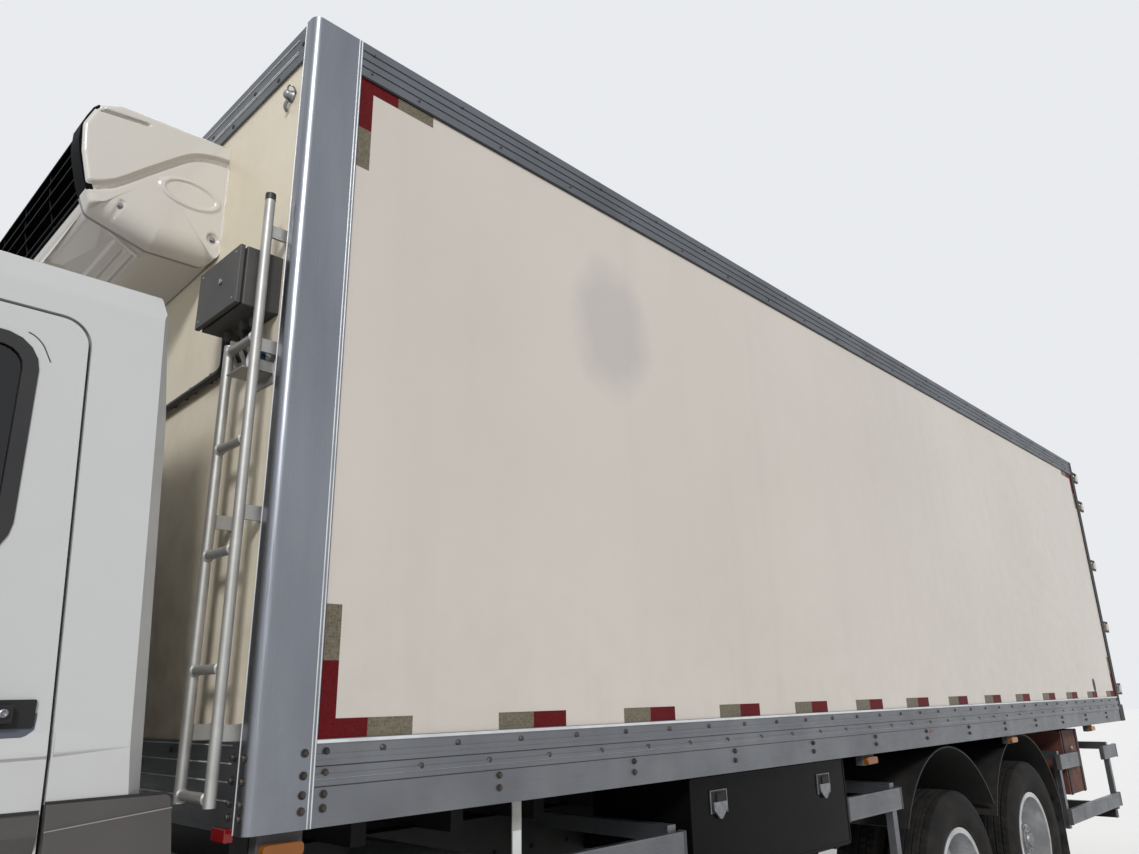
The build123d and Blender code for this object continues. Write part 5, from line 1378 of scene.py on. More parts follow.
    def build(self) -> None:
        """Make the unit in its CAD node's place."""
        self.make("unit_end_caps", self.end_cap(), Surface.UNIT, sharp=60, replaces=("fridge_housing",),
                twin=True)
        self.make("unit_body", side_prism(self.core, -0.611, 0.611), Surface.UNIT, bevel=0.006)
        self.make("unit_pan", self.pan(), Surface.UNIT, sharp=60)
        outline = self.profile()
        centre = outline.mean(0)
        gasket = side_prism(centre + 0.985 * (outline - centre), 0.6005, 0.6205)
        self.make("unit_gaskets", gasket, Surface.TRIM_EDGE, twin=True)
        frames = side_prism(self.frame_edge, 0.602, 0.685)
        self.make("unit_louvre_frame", frames, Surface.LOUVRE, bevel=0.002, twin=True)
        self.make("unit_louvre", self.louvre(), Surface.LOUVRE, bevel=0.0012)
        self.make("unit_coil", self.coil(), Surface.STEEL)
        insert = tube([(x, self.half - 0.011, z) for x, z in self.slot], 0.004, 8)
        self.make("unit_slot_inserts", insert, Surface.LADDER, twin=True)
        spots = [(x, self.half - 0.019, z) for x, z in self.sockets]
        self.make("unit_bolts", bolts(spots, "y", 0.008, 0.008), Surface.STEEL, twin=True)


# The cab


@dataclass
class Cab(Assembly):
    """Trim, seals, grille, wipers and handles on the cab."""

    # Openings as (a, b, radius) corners, clockwise: (x, z) on the flank, (y, z) on the nose.
    window: Triples = ((3.787, 2.421, 0.065), (4.845, 2.421, 0.06), (4.985, 1.690, 0.07),
            (3.950, 1.735, 0.09), (3.785, 1.965, 0.08))
    screen: Triples = ((-1.040, 2.450, 0.09), (1.040, 2.450, 0.09), (1.090, 1.800, 0.07),
            (-1.090, 1.800, 0.07))
    # Strips round them: rows as (distance out from the outline, height above the sheet).
    seal: Pairs = ((-0.014, -0.009), (-0.014, 0.003), (0.020, 0.003), (0.020, -0.003))
    lining: Pairs = ((-0.0015, -0.014), (0.0, -0.014), (0.0, -0.060), (-0.0015, -0.060))
    border: Pairs = ((-0.045, -0.009), (-0.045, 0.002), (0.012, 0.002), (0.012, -0.003))
    # The finger recess's outline as (x, z), laid on the door as painted shade.
    dish: Pairs = ((3.6592, 1.575), (3.8708, 1.575), (3.8708, 1.5619), (3.869, 1.5411), (3.854, 1.5287),
            (3.8295, 1.5196), (3.809, 1.5168), (3.7211, 1.5168), (3.7005, 1.5196),
            (3.6759, 1.5287), (3.661, 1.5411), (3.6592, 1.5619))
    # Lower trim of the door: rows as (z, height above the sheet).
    trim: Pairs = ((1.2475, -0.003), (1.2490, 0.0095), (1.3280, 0.0115), (1.3310, 0.0085),
            (1.3680, 0.0075), (1.3720, -0.003))
    trim_seam: Pairs = ((1.3705, -0.003), (1.3705, 0.0015), (1.3775, 0.0015), (1.3775, -0.003))
    trim_x: Pair = (3.6260, 4.990)
    scratch: Pairs = ((3.801, 2.449), (3.784, 2.443), (3.765, 2.425), (3.755, 2.405), (3.745, 2.385))
    # The pressed crease: rows as (share of its tall side, share of its height).
    crease_rows: Pairs = ((-0.009, -0.10), (-0.002, 0.92), (0.002, 1.0), (0.010, 0.86), (0.025, 0.45),
            (0.040, 0.12), (0.055, -0.10))
    crease_tall: float = 0.008
    grille_low: float = 1.320
    grille_pitch: float = 0.3600 / 7
    wiper_z: float = 1.775

    def __post_init__(self) -> None:
        """Take the surfaces that the trim lies on."""
        self.flank = Skin("y", 2.0, 1.2, "cab_shell", "cab_front", "cab_door_left", "door_glass_left")
        self.nose = Skin("x", 7.0, 5.2, "cab_shell", "cab_front", "windscreen")

    def ring(self, skin: Skin, line: Sequence[Triple], rows: Sequence[Pair], count: int = 150) -> Shape:
        """A strip that follows an opening in the sheet.

        A row is the outline moved out along its normals. The sheet's level is taken at least 10 mm
        outside the outline, where there is sheet to meet.

        Args:
            skin: the sheet.
            line: the opening's corners.
            rows: the strip's section, as (distance out, height above the sheet).
            count: places along it.

        Returns:
            The strip as a closed loop.
        """
        outline = evenly(rounded(line, 8), count)
        normal = outward(outline)
        rings = [skin.laid(outline + normal * away, rise, outline + normal * max(away, 0.010))
                for away, rise in rows]
        return looped(np.stack(rings, 1))

    def moulding(self, rows: Sequence[Pair]) -> Shape:
        """A strip along the left door's foot, from its (z, height above the sheet) rows."""
        heights, rises = np.array(rows).T
        return lidded(np.stack([self.flank.laid(np.stack([np.full(len(rows), x), heights], 1), rises)
                for x in np.linspace(*self.trim_x, 36)]))

    def crease(self, front: Pair, back: Pair, fade: float = 1.0) -> Shape:
        """A pressed crease on the left flank: a shoulder that rises over 55 mm and turns under in 9 mm.

        The height of each row is its share of 8 mm, times a strength that runs evenly from 1 at the
        front to fade at the back; the rows draw together as it weakens.

        Args:
            front: (x, z) of its front end.
            back: (x, z) of its rear end.
            fade: its strength at the rear end.

        Returns:
            The closed solid.
        """
        tall, high = np.array(self.crease_rows).T
        rings = []
        for share in np.linspace(1, 0, 40):
            x, z = np.array(front) * (1 - share) + np.array(back) * share
            strong = 1 - share + fade * share
            rows = np.stack([np.full(len(tall), x), z + tall * (0.35 + 0.65 * strong)], 1)
            rings.append(self.flank.laid(rows, high * self.crease_tall * strong))
        return lidded(np.stack(rings))

    def on_nose(self, line: Sequence[Pair], radius: float, lift: float) -> Shape:
        """A round bar along (y, z) places, lifted off the nose."""
        return tube(self.nose.laid(smooth_path(line, 24), lift), radius, 10, (1, 0, 0.01))

    def doors(self) -> None:
        """Window seals, handles, locks and mirror glasses, which ride on the doors."""
        door = "cab_door"
        self.both("window_seal", door, self.ring(self.flank, self.window, self.seal), Surface.RUBBER)
        self.both("window_lining", door, self.ring(self.flank, self.window, self.lining), Surface.RUBBER)
        handle = [side_prism(box_outline((3.6645, 3.8655), (1.5445, 1.6035), 0.004), 1.226, 1.2335),
                side_prism(box_outline((3.711, 3.856), (1.555, 1.593), 0.004), 1.2405, 1.2532)]
        handle += [block((x - 0.0008, x + 0.0208), (1.23, 1.2415), (1.5612, 1.5868)) for x in (3.718, 3.828)]
        self.both("door_handle", door, handle, Surface.GUARD_BLACK, 0.0012)
        # A flat dark sheet below the handle: painted shade of the finger recess.
        dish = lidded(np.stack([self.flank.laid(self.dish, rise) for rise in (-0.002, 0.0012)]))
        self.both("door_handle_dish", door, dish, Surface.DISH)
        lock = lathe([(-0.001, 0.009), (0.005, 0.009), (0.0065, 0.006), (0.004, 0.003)],
                (3.730, 1.2532, 1.576), "y", 16)
        self.both("door_lock", door, lock, Surface.STEEL)
        for part, z in (("main", (1.92, 2.29)), ("wide", (1.76, 1.895))):
            pane = prism(box_outline((1.275, 1.435), z, 0.025), "x", 4.952, 4.958)
            self.both(f"mirror_{part}_glass", door, pane, Surface.MIRROR, 0.001)

    def flanks(self) -> None:
        """Belt creases and the lower grey trim of the doors and of the panels behind them."""
        door = "cab_door"
        self.both("door_crease", door, self.crease((4.90, 1.462), (3.6305, 1.488)), Surface.CAB)
        rear = self.crease((3.6215, 1.491), (3.462, 1.498), 0.12)
        self.make("cab_creases", rear, Surface.CAB, "cab", sharp=80, twin=True)
        outline = rounded([(3.3405, 1.2535, 0), (3.3555, 1.3875, 0.016), (3.6165, 1.3875, 0),
                (3.6110, 1.2535, 0)], 6)
        lower = [(3.3412, 1.2540), (3.3525, 1.358), (3.6145, 1.334), (3.6110, 1.2540)]
        sill = [side_prism(outline, 1.184, 1.2395), side_prism(lower, 1.2385, 1.2435)]
        self.make("sill_trim", sill, Surface.SKIRT, "cab", bevel=0.0022, twin=True)
        seam = block((3.362, 3.6165), (1.226, 1.2318), (1.3872, 1.3935))
        self.make("sill_seam", seam, Surface.RUBBER, "cab", twin=True)
        # A pale strip on the lower trim's top edge: painted highlight where the edge catches the light.
        low = [(3.3525, 1.3572), (3.3525, 1.3594), (3.6145, 1.3354), (3.6145, 1.3332)]
        self.make("sill_edge", side_prism(low, 1.2385, 1.2440), Surface.TRIM_EDGE, "cab", twin=True)
        self.both("door_trim", door, self.moulding(self.trim), Surface.SKIRT)
        self.both("door_trim_seam", door, self.moulding(self.trim_seam), Surface.RUBBER)
        scratch = tube(self.flank.laid(smooth_path(self.scratch, 40)), 0.0016, 8, (0, 1, 0.01))
        self.make("door_scratch", scratch, Surface.DARK_BOLT, "cab_door_left")

    def front(self) -> None:
        """Screen border, nose grille, wipers and roof markers."""
        self.make("screen_border", self.ring(self.nose, self.screen, self.border, 200), Surface.RUBBER, "cab")
        slots = []
        for index in range(7):
            low = self.grille_low + index * self.grille_pitch
            z0, z1 = low + (0.0125 if index else 0.002), low + (0.0389 if index < 6 else 0.0494)
            slots.append(lidded(np.stack([
                self.nose.laid([(y, z) for y in np.linspace(-0.716, 0.716, 48)], rise)
                for z, rise in ((z0, -0.002), (z0, 0.0015), (z1, 0.0015), (z1, -0.002))], 1)))
        self.make("nose_grille", slots, Surface.GUARD_BLACK, "cab")
        arms = [self.on_nose(line, 0.007, 0.022) for line in
                ([(0.75, 1.775), (0.45, 1.83), (0.15, 1.87)], [(0.05, 1.775), (-0.25, 1.83), (-0.55, 1.87)])]
        blades = [self.on_nose(line, 0.006, 0.010) for line in
                ([(0.50, 1.85), (0.15, 1.88), (-0.18, 1.86)],
                [(-0.20, 1.85), (-0.55, 1.88), (-0.88, 1.86)])]
        knobs = self.nose.laid([(y, self.wiper_z) for y in (0.75, 0.05)])
        hubs = lathe([(-0.02, 0.02), (0.028, 0.018), (0.034, 0.010)], (0, 0, 0), "x", 16).copies(knobs)
        self.make("wipers", [*arms, *blades, hubs], Surface.RUBBER, "cab")
        spots = self.nose.laid([(y, 2.60) for y in (-0.9, -0.3, 0.3, 0.9)])
        lens = lathe([(-0.02, 0.022), (0.006, 0.021), (0.012, 0.012)], (0, 0, 0), "x", 18).copies(spots)
        self.make("roof_markers", lens, Surface.LAMP_AMBER, "cab")

    def build(self) -> None:
        """Make the trim; the cab's panels and glass are smooth copies in the table below."""
        self.doors()
        self.flanks()
        self.front()


@dataclass
class FrontEnd(Assembly):
    """Lamps, grille, plate and treads below the cab."""

    lamps: Pairs = ((0.87, 0.69), (1.04, 0.69))
    plate_z: float = 0.455
    treads: Pair = (0.4695, 0.8495)
    tread_pitch: float = 0.0215

    def build(self) -> None:
        """Lamp lenses and rings, lower grille, blank plate, step treads."""
        face = Skin("x", 7.0, 5.2, "bumper", "head_lamps")
        spots = face.laid(self.lamps)
        ring = lathe([(-0.01, 0.072), (0.006, 0.074), (0.008, 0.066), (0.002, 0.060)], (0, 0, 0), "x", 36)
        self.make("head_lamp_rings", ring.copies(spots), Surface.STEEL, twin=True)
        dome = [(-0.008, 0.060), (0.004, 0.058), (0.012, 0.045), (0.017, 0.025), (0.018, 0.004)]
        dome = lathe(dome, (0, 0, 0), "x", 36)
        self.make("head_lamp_domes", dome.copies(spots), Surface.LAMP_CLEAR, twin=True)
        bars = []
        for z in np.linspace(0.50, 0.74, 6):
            points = face.laid([(y, z) for y in np.linspace(-0.60, 0.60, 26)], -0.002)
            points[:, 0] = np.minimum(points[:, 0], 5.3385)
            bars.append(tube(points, 0.009, 8, (1, 0, 0.01)))
        self.make("bumper_grille", bars, Surface.PLASTIC)
        x = float(face.laid([(0.0, self.plate_z)])[0, 0])
        outline = box_outline((-0.26, 0.26), (0.405, 0.475), 0.01)
        plate = prism(outline, "x", x - 0.012, min(x + 0.003, 5.3495))
        self.make("blank_plate", plate, Surface.WHITE_LABEL, bevel=0.001)
        treads = [block((x, x + 0.008), (0.99, 1.205), (z, z + 0.005)) for z in self.treads
                for x in 4.672 + np.arange(14) * self.tread_pitch]
        self.make("step_treads", treads, Surface.ALUMINIUM, twin=True)


# Wheels


@dataclass(frozen=True)
class WheelPlace:
    """A wheel of one axle: the start of its nodes' and body's names, its middle's x and z, the y of
    each of its tyres, and the y of its disc's and its hub's outer face."""

    name: str
    x: float
    z: float
    tyres: Floats
    disc: float
    hub_end: float


@dataclass
class Wheels(Assembly):
    """Moulded tyres with ribs and sipes, wheel nuts, hub covers and valves."""

    pitches: int = 72
    groove_y: Floats = (-0.066, -0.022, 0.022, 0.066)
    groove_deep: float = 0.013
    sipe_deep: float = 0.006
    wall: Pairs = (
        (0.070, 0.2875), (0.094, 0.2868), (0.100, 0.295), (0.108, 0.306), (0.118, 0.318), (0.1195, 0.328),
        (0.122, 0.331), (0.1295, 0.350), (0.1350, 0.375), (0.1375, 0.395), (0.1370, 0.412), (0.1350, 0.430),
        (0.1362, 0.433), (0.1340, 0.452), (0.1285, 0.468), (0.1265, 0.472), (0.119, 0.488))
    cover: Pairs = ((-0.004, 0.088), (0.008, 0.088), (0.012, 0.082), (0.014, 0.050), (0.026, 0.044),
            (0.030, 0.034), (0.031, 0.006))
    bolt_circle: float = 0.125
    nuts: int = 10
    hub_circle: float = 0.068
    hub_bolts: int = 8
    hub_seat: float = 0.012
    places: tuple[WheelPlace, ...] = (
        WheelPlace("front", 3.970, 0.506, (1.060,), 1.150, 1.178),
        WheelPlace("drive", -1.240, 0.506, (1.102, 0.792), 0.957, 1.162),
        WheelPlace("tag", -2.560, 0.586, (1.102, 0.792), 0.957, 1.162))

    def tyre(self) -> Shape:
        """One tyre about the origin's Y axis.

        Rows follow the section from bead to bead; a tread point's radius falls where its y lies in a
        rib groove, or where its angle falls in a sipe of its rib.

        Returns:
            The tyre as a closed loop of its section.
        """
        tread = [(y, 0.5055 - 0.0035 * (abs(y) / 0.105) ** 4) for y in np.linspace(0.108, -0.108, 31)]
        section = np.array([*self.wall, *tread, *[(-y, radius) for y, radius in self.wall[::-1]]])
        sides = self.pitches * 3
        y = section[:, :1]
        row = np.arange(len(section))[:, None]
        on_tread = (row >= len(self.wall)) & (row < len(section) - len(self.wall))
        groove = np.min([np.abs(y - place) for place in self.groove_y], axis=0) < 0.0045
        sipe = (np.arange(sides)[None] + np.digitize(y, self.groove_y)) % 3 == 0
        sipe &= on_tread & ~groove & (np.abs(y) > 0.03)
        depth = np.where(groove & on_tread, self.groove_deep, 0.0) + np.where(sipe, self.sipe_deep, 0.0)
        radius = section[:, 1:] - depth
        turned = radius[..., None] * circle(1.0, sides)[:, ::-1]
        return looped(place_flat(turned, "y", y)[::-1])

    def fittings(self, place: WheelPlace) -> list[Shape]:
        """Nuts and studs on the disc, the hub's cover with its bolts, and the valve."""
        middle = (place.x, 0, place.z)
        flat = circle(self.bolt_circle, 2 * self.nuts)[1::2, ::-1]
        ring = place_flat(flat, "y", place.disc) + middle
        flat = circle(self.hub_circle, self.hub_bolts)[:, ::-1]
        spots = place_flat(flat, "y", place.hub_end + self.hub_seat) + middle
        valve = np.array([(0.232, -0.03, 0), (0.236, 0.01, 0), (0.240, 0.035, 0)])
        valve += (place.x, place.disc, place.z)
        return [bolts(ring, "y", 0.0145, 0.026), heads(ring + (0, 0.022, 0), "y", 0.008, 0.012),
                lathe(self.cover, (place.x, place.hub_end, place.z), "y", 40),
                bolts(spots, "y", 0.0065, 0.006), tube(valve, 0.0045, 8, (1, 0, 0))]

    def build(self) -> None:
        """Tyres, rims and fittings of all six wheel bodies."""
        tyre = self.tyre()
        for place in self.places:
            many = "s" if len(place.tyres) > 1 else ""
            tyres = tyre.copies([(place.x, y, place.z) for y in place.tyres])
            fittings = Shape.joined(self.fittings(place))
            for side, sign in SIDES:
                body, node = f"{place.name}_wheel{many}_{side}", f"{place.name}_tyre{many}_{side}"
                self.make(node + ".moulded", tyres.on_side(sign), Surface.TYRE, body, sharp=28,
                        replaces=(node,))
                self.make(body + ".nuts", fittings.on_side(sign), Surface.STEEL, body)
                self.workshop.copy_of(f"{place.name}_rim{many}_{side}", Surface.RIM)


# Below the box


@dataclass
class Underbody(Assembly):
    """What hangs on the frame: guard mouldings, toolbox latches, flaps, straps, tanks and chambers."""

    side_y: float = 1.225
    # The guard boards' run along X and lower edge.
    boards: tuple[tuple[Pair, float], ...] = (
        ((1.381, 2.423), 0.980), ((1.381, 2.423), 0.590), ((-0.540, 0.057), 0.980), ((-4.880, -3.420), 0.590),
        ((-3.870, -3.380), 0.980), ((-5.050, -4.620), 0.980))
    rib_count: int = 12
    latch_x: Pair = (1.150, 0.290)
    latch_half: float = 0.0565
    latch_z: Pair = (1.1265, 1.2135)
    flap_places: tuple[tuple[float, Pair, Pair], ...] = ((3.330, (0.90, 1.215), (0.42, 0.86)),
            (-3.245, (0.66, 1.215), (0.40, 0.90)))
    strap_x: Pair = (-4.045, -3.695)
    vessel: Pairs = ((-0.36, 0.02), (-0.352, 0.07), (-0.33, 0.105), (-0.30, 0.118), (0.30, 0.118),
            (0.33, 0.105), (0.352, 0.07), (0.36, 0.02))
    vessels: Pairs = ((-0.20, 0.20), (-0.20, -0.20), (0.75, -0.23))
    chamber: Pairs = ((-0.10, 0.03), (-0.09, 0.07), (-0.02, 0.082), (-0.01, 0.09), (0.01, 0.09),
            (0.02, 0.08), (0.09, 0.07), (0.10, 0.03))
    chambers: Pairs = ((-1.45, 0.60), (-2.77, 0.68))
    # The bellows' middle x and lower end.
    bellows: Pairs = ((-1.57, 0.434), (-2.89, 0.514))
    bellows_r: float = 0.112
    wires: Pairs = ((0.93, 0.012), (0.90, 0.008), (0.87, 0.009))

    def guards(self) -> None:
        """Fine extruded ribs along each aluminium guard board, and black caps on its ends."""
        ribs = [block(x, (self.side_y - 0.002, self.side_y + 0.0014), (level, level + 0.0035))
                for x, low in self.boards for level in np.linspace(low + 0.010, low + 0.0915, self.rib_count)]
        self.make("guard_ribs", ribs, Surface.ALUMINIUM, twin=True)
        cap = block((-0.006, 0.006), (self.side_y - 0.031, self.side_y + 0.0035), (-0.003, 0.108))
        caps = cap.copies([(x, 0, z) for ends, z in self.boards for x in ends])
        self.make("guard_end_caps", caps, Surface.PLASTIC, bevel=0.002, twin=True)

    def latches(self) -> tuple[list[Shape], list[Shape]]:
        """Two compression latches: a dark plate and boss, and a silver rim with a pointed pull below."""
        plates, handles = [], []
        y, (low, high), wide = self.side_y, self.latch_z, self.latch_half
        rim = (y, y + 0.0064)
        for x in self.latch_x:
            outline = box_outline((x - wide, x + wide), self.latch_z, 0.003)
            boss = box_outline((x - 0.020, x + 0.020), (1.1390, 1.2010), 0.004)
            plates += [side_prism(outline, y - 0.002, y + 0.0052), side_prism(boss, y + 0.004, y + 0.0130)]
            pull = rounded([(x - 0.048, 1.1700, 0.004), (x + 0.048, 1.1700, 0.004), (x + 0.044, 1.140, 0.010),
                    (x + 0.008, 1.106, 0.006), (x - 0.008, 1.106, 0.006), (x - 0.044, 1.140, 0.010)], 4)
            handles.append(side_prism(pull, y + 0.004, y + 0.0142))
            handles += [block((edge - 0.002, edge + 0.002), rim, (low, high))
                    for edge in (x - wide, x + wide)]
            handles.append(block((x - wide, x + wide), rim, (high - 0.003, high + 0.001)))
        return plates, handles

    def toolbox(self) -> None:
        """Lid rim, latches and seal of the black toolbox."""
        face = (1.2245, 1.2275)
        rim = [block((0.0715, 1.3385), face, z) for z in ((0.890, 0.900), (1.258, 1.267))]
        rim += [block(x, face, (0.890, 1.267)) for x in ((0.0715, 0.0815), (1.3285, 1.3385))]
        plates, handles = self.latches()
        for name, shapes, surface, bevel in (("toolbox_lid_rim", rim, Surface.GLOSS_BLACK, 0.0014),
                ("toolbox_latch_plates", plates, Surface.GUARD_BLACK, 0.0012),
                ("toolbox_latch_handles", handles, Surface.STEEL, 0.001)):
            self.make(name, shapes, surface, "toolbox_lid", bevel=bevel)
        seal = [block((0.072, 1.338), (1.2105, 1.2115), z) for z in ((0.892, 0.900), (1.257, 1.266))]
        self.make("toolbox_seal", seal, Surface.RUBBER)

    def flaps(self) -> None:
        """Rubber flaps behind the wheels: thin sheets with a moulded rib each 60 mm."""
        made = []
        for x, y, z in self.flap_places:
            made.append(block((x - 0.004, x + 0.004), y, z))
            made += [block((x - 0.007, x - 0.003), (step, step + 0.012), (z[0] + 0.02, z[1] - 0.02))
                    for step in np.arange(y[0] + 0.03, y[1] - 0.02, 0.06)]
        self.make("wheel_flaps", made, Surface.RUBBER, twin=True)

    def cabinet(self) -> None:
        """Dark straps, a door line and a catch on the side cabinet."""
        y = float(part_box("side_cabinet")[1][1])
        straps = [block((x, x + 0.035), depth, z) for depth, z in (((0.90, y + 0.004), (0.777, 1.253)),
                ((y - 0.002, y + 0.006), (0.776, 1.254))) for x in self.strap_x]
        self.make("cabinet_straps", straps, Surface.FRAME, bevel=0.001)
        seams = [block((-4.075, -3.635), (y - 0.001, y + 0.0012), (z, z + 0.003)) for z in (0.90, 1.14)]
        self.make("cabinet_seams", seams, Surface.RUBBER)
        catch = side_prism(box_outline((-3.88, -3.82), (1.105, 1.128), 0.006), y - 0.001, y + 0.010)
        self.make("cabinet_catch", catch, Surface.STEEL, bevel=0.001)

    def tank(self) -> None:
        """Straps and cap of the fuel tank, ribs of the battery box."""
        outer = box_outline((-1.143, -0.497), (0.557, 1.043), 0.092, 8)
        inner = box_outline((-1.139, -0.501), (0.561, 1.039), 0.089, 8)
        straps = [looped(np.stack([place_flat(line, "x", level) for line, level in
                ((inner, x), (outer, x), (outer, x + 0.045), (inner, x + 0.045))])) for x in (1.62, 2.14)]
        self.make("tank_straps", straps, Surface.STEEL)
        cap = lathe([(-0.006, 0.042), (0.012, 0.042), (0.020, 0.036), (0.026, 0.014)], (1.88, -0.98, 1.040),
                "z", 28)
        self.make("tank_cap", cap, Surface.PLASTIC)
        low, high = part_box("battery_box")
        ribs = [block((x, x + 0.012), (low[1] - 0.004, low[1] + 0.002), (0.66, 1.02))
                for x in np.linspace(low[0] + 0.04, high[0] - 0.05, 7)]
        self.make("battery_box_ribs", ribs, Surface.PLASTIC, bevel=0.002)

    def hidden(self) -> None:
        """Air tanks, brake chambers, bellows rings and the wiring run inside the frame."""
        tanks = [lathe(self.vessel, (x, y, 0.84), "x", 32) for x, y in self.vessels]
        tanks += [block((x + dx - 0.02, x + dx + 0.02), (y - 0.02, y + 0.02), (0.94, 1.02))
                for x, y in self.vessels for dx in (-0.2, 0.2)]
        self.make("air_tanks", tanks, Surface.FRAME)
        spots = [(x, y, z) for x, z in self.chambers for y in (0.50, -0.50)]
        self.make("brake_chambers", lathe(self.chamber, (0, 0, 0), "y", 26).copies(spots), Surface.IRON)
        hoop = place_flat(np.pad(circle(self.bellows_r, 32), ((0, 1), (0, 0)), "wrap"), "z", 0)
        rings = [tube(hoop + (x, y, base + z), 0.010, 8) for x, base in self.bellows for y in (0.385, -0.385)
                for z in (0.05, 0.12, 0.19)]
        self.make("bellows_rings", rings, Surface.RUBBER)
        runs = [tube([(x, side * 0.412, z) for x in np.linspace(-4.8, 3.0, 60)], radius, 8)
                for side in (1, -1) for z, radius in self.wires]
        self.make("frame_wiring", runs, Surface.CABLE)

    def build(self) -> None:
        """Make all of it, with the bolts along the frame rails and the hanger plate with its blank label."""
        self.guards()
        self.toolbox()
        self.flaps()
        self.cabinet()
        self.tank()
        self.hidden()
        spots = [(x, 0.425, z) for x in np.arange(-4.8, 3.2, 0.215) for z in (0.965, 0.765)]
        self.make("frame_rail_bolts", bolts(spots, "y", 0.009, 0.009), Surface.FRAME, twin=True)
        hanger = block((2.2085, 2.2485), (1.195, 1.200), (0.985, 1.2805))
        self.make("hanger_plate", hanger, Surface.LADDER, bevel=0.001, twin=True)
        label = block((2.2105, 2.2465), (1.1998, 1.2006), (0.990, 1.180))
        self.make("hanger_label", label, Surface.WHITE_LABEL, twin=True)


@dataclass
class RearEnd(Assembly):
    """Door seals, lock cams and rivets, rear marks, lamps and buffers."""

    face: float = -5.285
    door_z: Pair = (1.447, 3.703)
    bars: Pair = (0.2015, 0.884)
    cam_z: Pair = (1.446, 3.655)
    rivet_z: Floats = (1.516, 2.011, 2.508, 3.005)
    mark_z: Pair = (1.56, 3.60)
    lenses: tuple[tuple[str, Surface, Pair], ...] = (
        ("red", Surface.LAMP_RED, (0.94, 1.06)), ("amber", Surface.LAMP_AMBER, (1.07, 1.13)),
        ("clear", Surface.LAMP_CLEAR, (1.14, 1.22)))

    def marks(self, *starts: float) -> list[Shape]:
        """Reflective marks on the left door, from the y where each starts."""
        return [block((self.face - 0.0008, self.face + 0.0002), (y, y + 0.15), (z, z + 0.05))
                for y in starts for z in self.mark_z]

    def build(self) -> None:
        """Make the pieces, those on the doors riding on them."""
        depth = (self.face - 0.004, self.face + 0.084)
        seal = [block(depth, y, self.door_z) for y in ((0.0035, 0.0060), (1.2765, 1.2795))]
        seal += [block(depth, (0.004, 1.279), (z, z + 0.003))
                for z in (self.door_z[0] - 0.003, self.door_z[1])]
        cams = [lathe([(0, 0.022), (0.05, 0.022), (0.055, 0.016)], (self.face - 0.016, y, z), "z", 16)
                for y in self.bars for z in self.cam_z]
        spots = [(self.face - 0.033, y + dy, z) for y in self.bars for dy in (-0.026, 0.026)
                for z in self.rivet_z]
        cams.append(heads(spots, "x", 0.006, 0.003, -1))
        for name, shapes, surface in (("rear_seal", seal, Surface.RUBBER),
                ("rear_marks_red", self.marks(0.34, 1.06), Surface.TAPE_RED),
                ("rear_marks_pale", self.marks(0.49), Surface.TAPE_PALE),
                ("lock_cams", cams, Surface.STEEL)):
            self.both(name, "rear_door", shapes, surface)
        x = float(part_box("rear_lamps")[0][0])
        for name, surface, y in self.lenses:
            lens = prism(box_outline(y, (1.318, 1.382), 0.01), "x", x - 0.008, x + 0.002)
            self.make("rear_lens_" + name, lens, surface, bevel=0.002, twin=True)
        buffer = block((-5.30, -5.258), (0.80, 0.90), (1.30, 1.40))
        self.make("dock_buffers", buffer, Surface.RUBBER, bevel=0.008, twin=True)
        cap = block((-4.993, -4.927), (1.146, 1.156), (0.477, 0.603))
        self.make("underrun_caps", cap, Surface.PLASTIC, bevel=0.004, twin=True)
        plate = block((-4.996, -4.989), (-0.26, 0.26), (0.49, 0.60))
        self.make("rear_blank_plate", plate, Surface.WHITE_LABEL, bevel=0.001)


# CAD nodes that are shown as they are, and those that a smooth copy stands for


DRESSED: dict[Surface, tuple[str, ...]] = {
    Surface.PANEL: ("side_walls", "rear_door_left", "rear_door_right"),
    Surface.ROOF: ("roof",),
    Surface.FRONT: ("front_wall",),
    Surface.FLOOR: ("box_floor",),
    Surface.ALUMINIUM: ("bottom_rails", "side_guards", "evaporator"),
    Surface.TOP_RAIL: ("top_rails",),
    Surface.FRAME: ("chassis_frame", "subframe", "underrun", "rear_frame", "tow_brackets"),
    Surface.PLASTIC: ("cab_steps", "battery_box"),
    Surface.GLOSS_BLACK: ("toolbox", "toolbox_lid"),
    Surface.IRON: ("engine",),
    Surface.LAMP_CLEAR: ("head_lamps",),
    Surface.LAMP_RED: ("rear_lamps",),
    Surface.CABINET: ("side_cabinet",),
    Surface.INTERIOR: ("cab_interior",),
}
SMOOTHED: dict[Surface, tuple[str, ...]] = {
    Surface.POST: ("corner_posts",),
    Surface.FRAME: ("front_axle", "rear_axles", "suspension"),
    Surface.STEEL: ("propshaft", "track_rod"),
    Surface.IRON: ("knuckle_left", "knuckle_right"),
    Surface.ALUMINIUM: ("fuel_tank",),
    Surface.GUARD_BLACK: ("mudguards",),
    Surface.CAB: ("cab_shell", "cab_front", "cab_door_left", "cab_door_right", "bumper"),
    Surface.PLASTIC: ("mirror_left", "mirror_right"),
    Surface.GLASS: ("windscreen", "door_glass_left", "door_glass_right"),
}


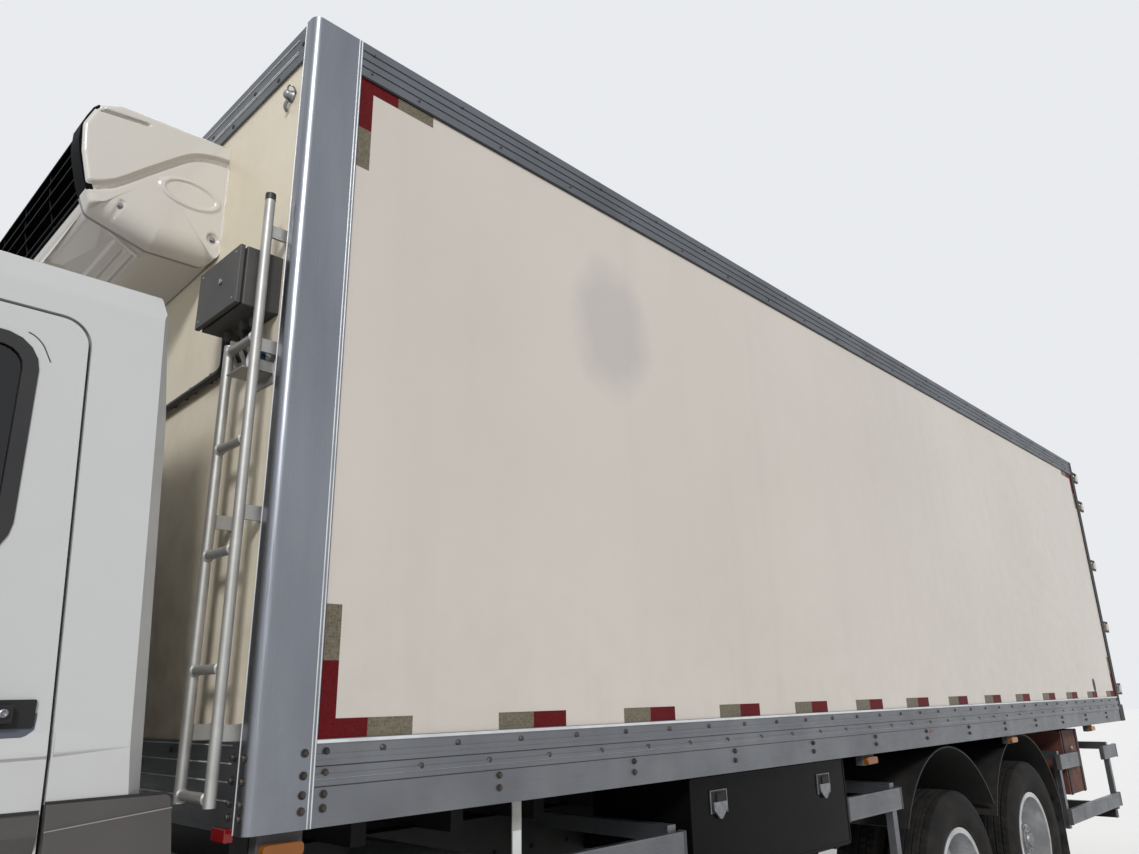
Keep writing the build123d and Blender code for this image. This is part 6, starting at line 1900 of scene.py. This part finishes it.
@dataclass
class Studio:
    """Pale floor, white surroundings, a broad key light, a fill, and the camera."""

    place: Triple = (4.2316, 3.4135, 1.5832)
    right: Triple = (-0.70019, 0.71367, -0.02036)
    up: Triple = (0.20467, 0.22797, 0.95191)
    lens: float = 26.65
    sensor: float = 36.0
    see_to: float = 300.0
    floor_r: float = 70.0
    floor_deep: float = 0.03
    floor_colour: str = "#e8e8e6"
    light_colour: Floats = (0.96, 0.98, 1.0, 1.0)
    light_strength: float = 0.41
    view_colour: str = "#e9ebee"

    def camera(self) -> None:
        """The camera that the photograph was taken with, from its solved place and axes."""
        data = bpy.data.cameras.new("camera")
        data.lens, data.sensor_width, data.clip_end = self.lens, self.sensor, self.see_to
        camera = placed("camera", data)
        right, up = Vector(self.right).normalized(), Vector(self.up).normalized()
        turn = Matrix((right, up, right.cross(up))).transposed().to_4x4()
        camera.matrix_world = Matrix.Translation(self.place) @ turn
        bpy.context.scene.camera = camera

    def sun(self, name: str, towards: Triple, energy: float, angle: float) -> None:
        """One distant light.

        Args:
            name: its name.
            towards: the direction that it shines from.
            energy: its strength.
            angle: how wide it looks, in degrees.
        """
        data = bpy.data.lights.new(name, "SUN")
        data.energy, data.angle = energy, math.radians(angle)
        placed(name, data).rotation_euler = Vector(towards).to_track_quat("Z", "Y").to_euler()

    def world(self) -> None:
        """Grey light all round, with a pale view for the camera, mirrors and glass."""
        world = bpy.data.worlds.new("surroundings")
        world.use_nodes = True
        tree = world.node_tree
        tree.nodes.clear()
        camera = add(tree, "LightPath", out="Is Camera Ray")
        path = camera.node.outputs
        seen = add(tree, "Math", {0: camera, 1: path["Is Glossy Ray"]}, MOST)
        seen = add(tree, "Math", {0: seen, 1: path["Is Transmission Ray"]}, MOST)
        dim = add(tree, "Background", {"Color": self.light_colour, "Strength": self.light_strength})
        pale = add(tree, "Background", {"Color": linear(self.view_colour), "Strength": 1.0})
        add(tree, "OutputWorld", {"Surface": add(tree, "MixShader", {0: seen, 1: dim, 2: pale})})
        bpy.context.scene.world = world

    def floor(self) -> None:
        """A wide plain pale disc on the ground."""
        disc = circle(self.floor_r, 96)
        mesh = prism(disc, "z", -self.floor_deep, 0.0).mesh("floor")
        material = bpy.data.materials.new("floor_pale")
        material.use_nodes = True
        shader = material.node_tree.nodes["Principled BSDF"]
        shader.inputs["Base Color"].default_value = linear(self.floor_colour)
        shader.inputs["Roughness"].default_value = 0.9
        mesh.materials.append(material)
        floor = placed("floor", mesh)

    def build(self) -> None:
        """Set it all up."""
        self.camera()
        self.sun("key", (0.55, 0.65, 0.52), 2.42, 12.0)
        self.sun("fill", (-0.6, -0.7, 0.4), 1.6, 60.0)
        self.world()
        self.floor()
        bpy.context.scene.view_settings.view_transform = "Standard"


def main() -> None:
    """Build the truck's looks in order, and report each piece."""
    workshop = Workshop()
    for nodes_of, finish in ((DRESSED, workshop.dress), (SMOOTHED, workshop.copy_of)):
        for surface, nodes in nodes_of.items():
            for node in nodes:
                finish(node, surface)
    for kind in (EdgeRails, ReflectiveTape, SideFittings, FrontWallFittings, Ladder, ElectricBox, CoolingUnit,
            Cab, FrontEnd, Wheels, Underbody, RearEnd):
        kind(workshop).build()
    for name, count in workshop.pieces.items():
        log.info("%s: %d triangles", name, count)
    Studio().build()
    bpy.context.view_layer.update()


if __name__ == "__main__":
    main()
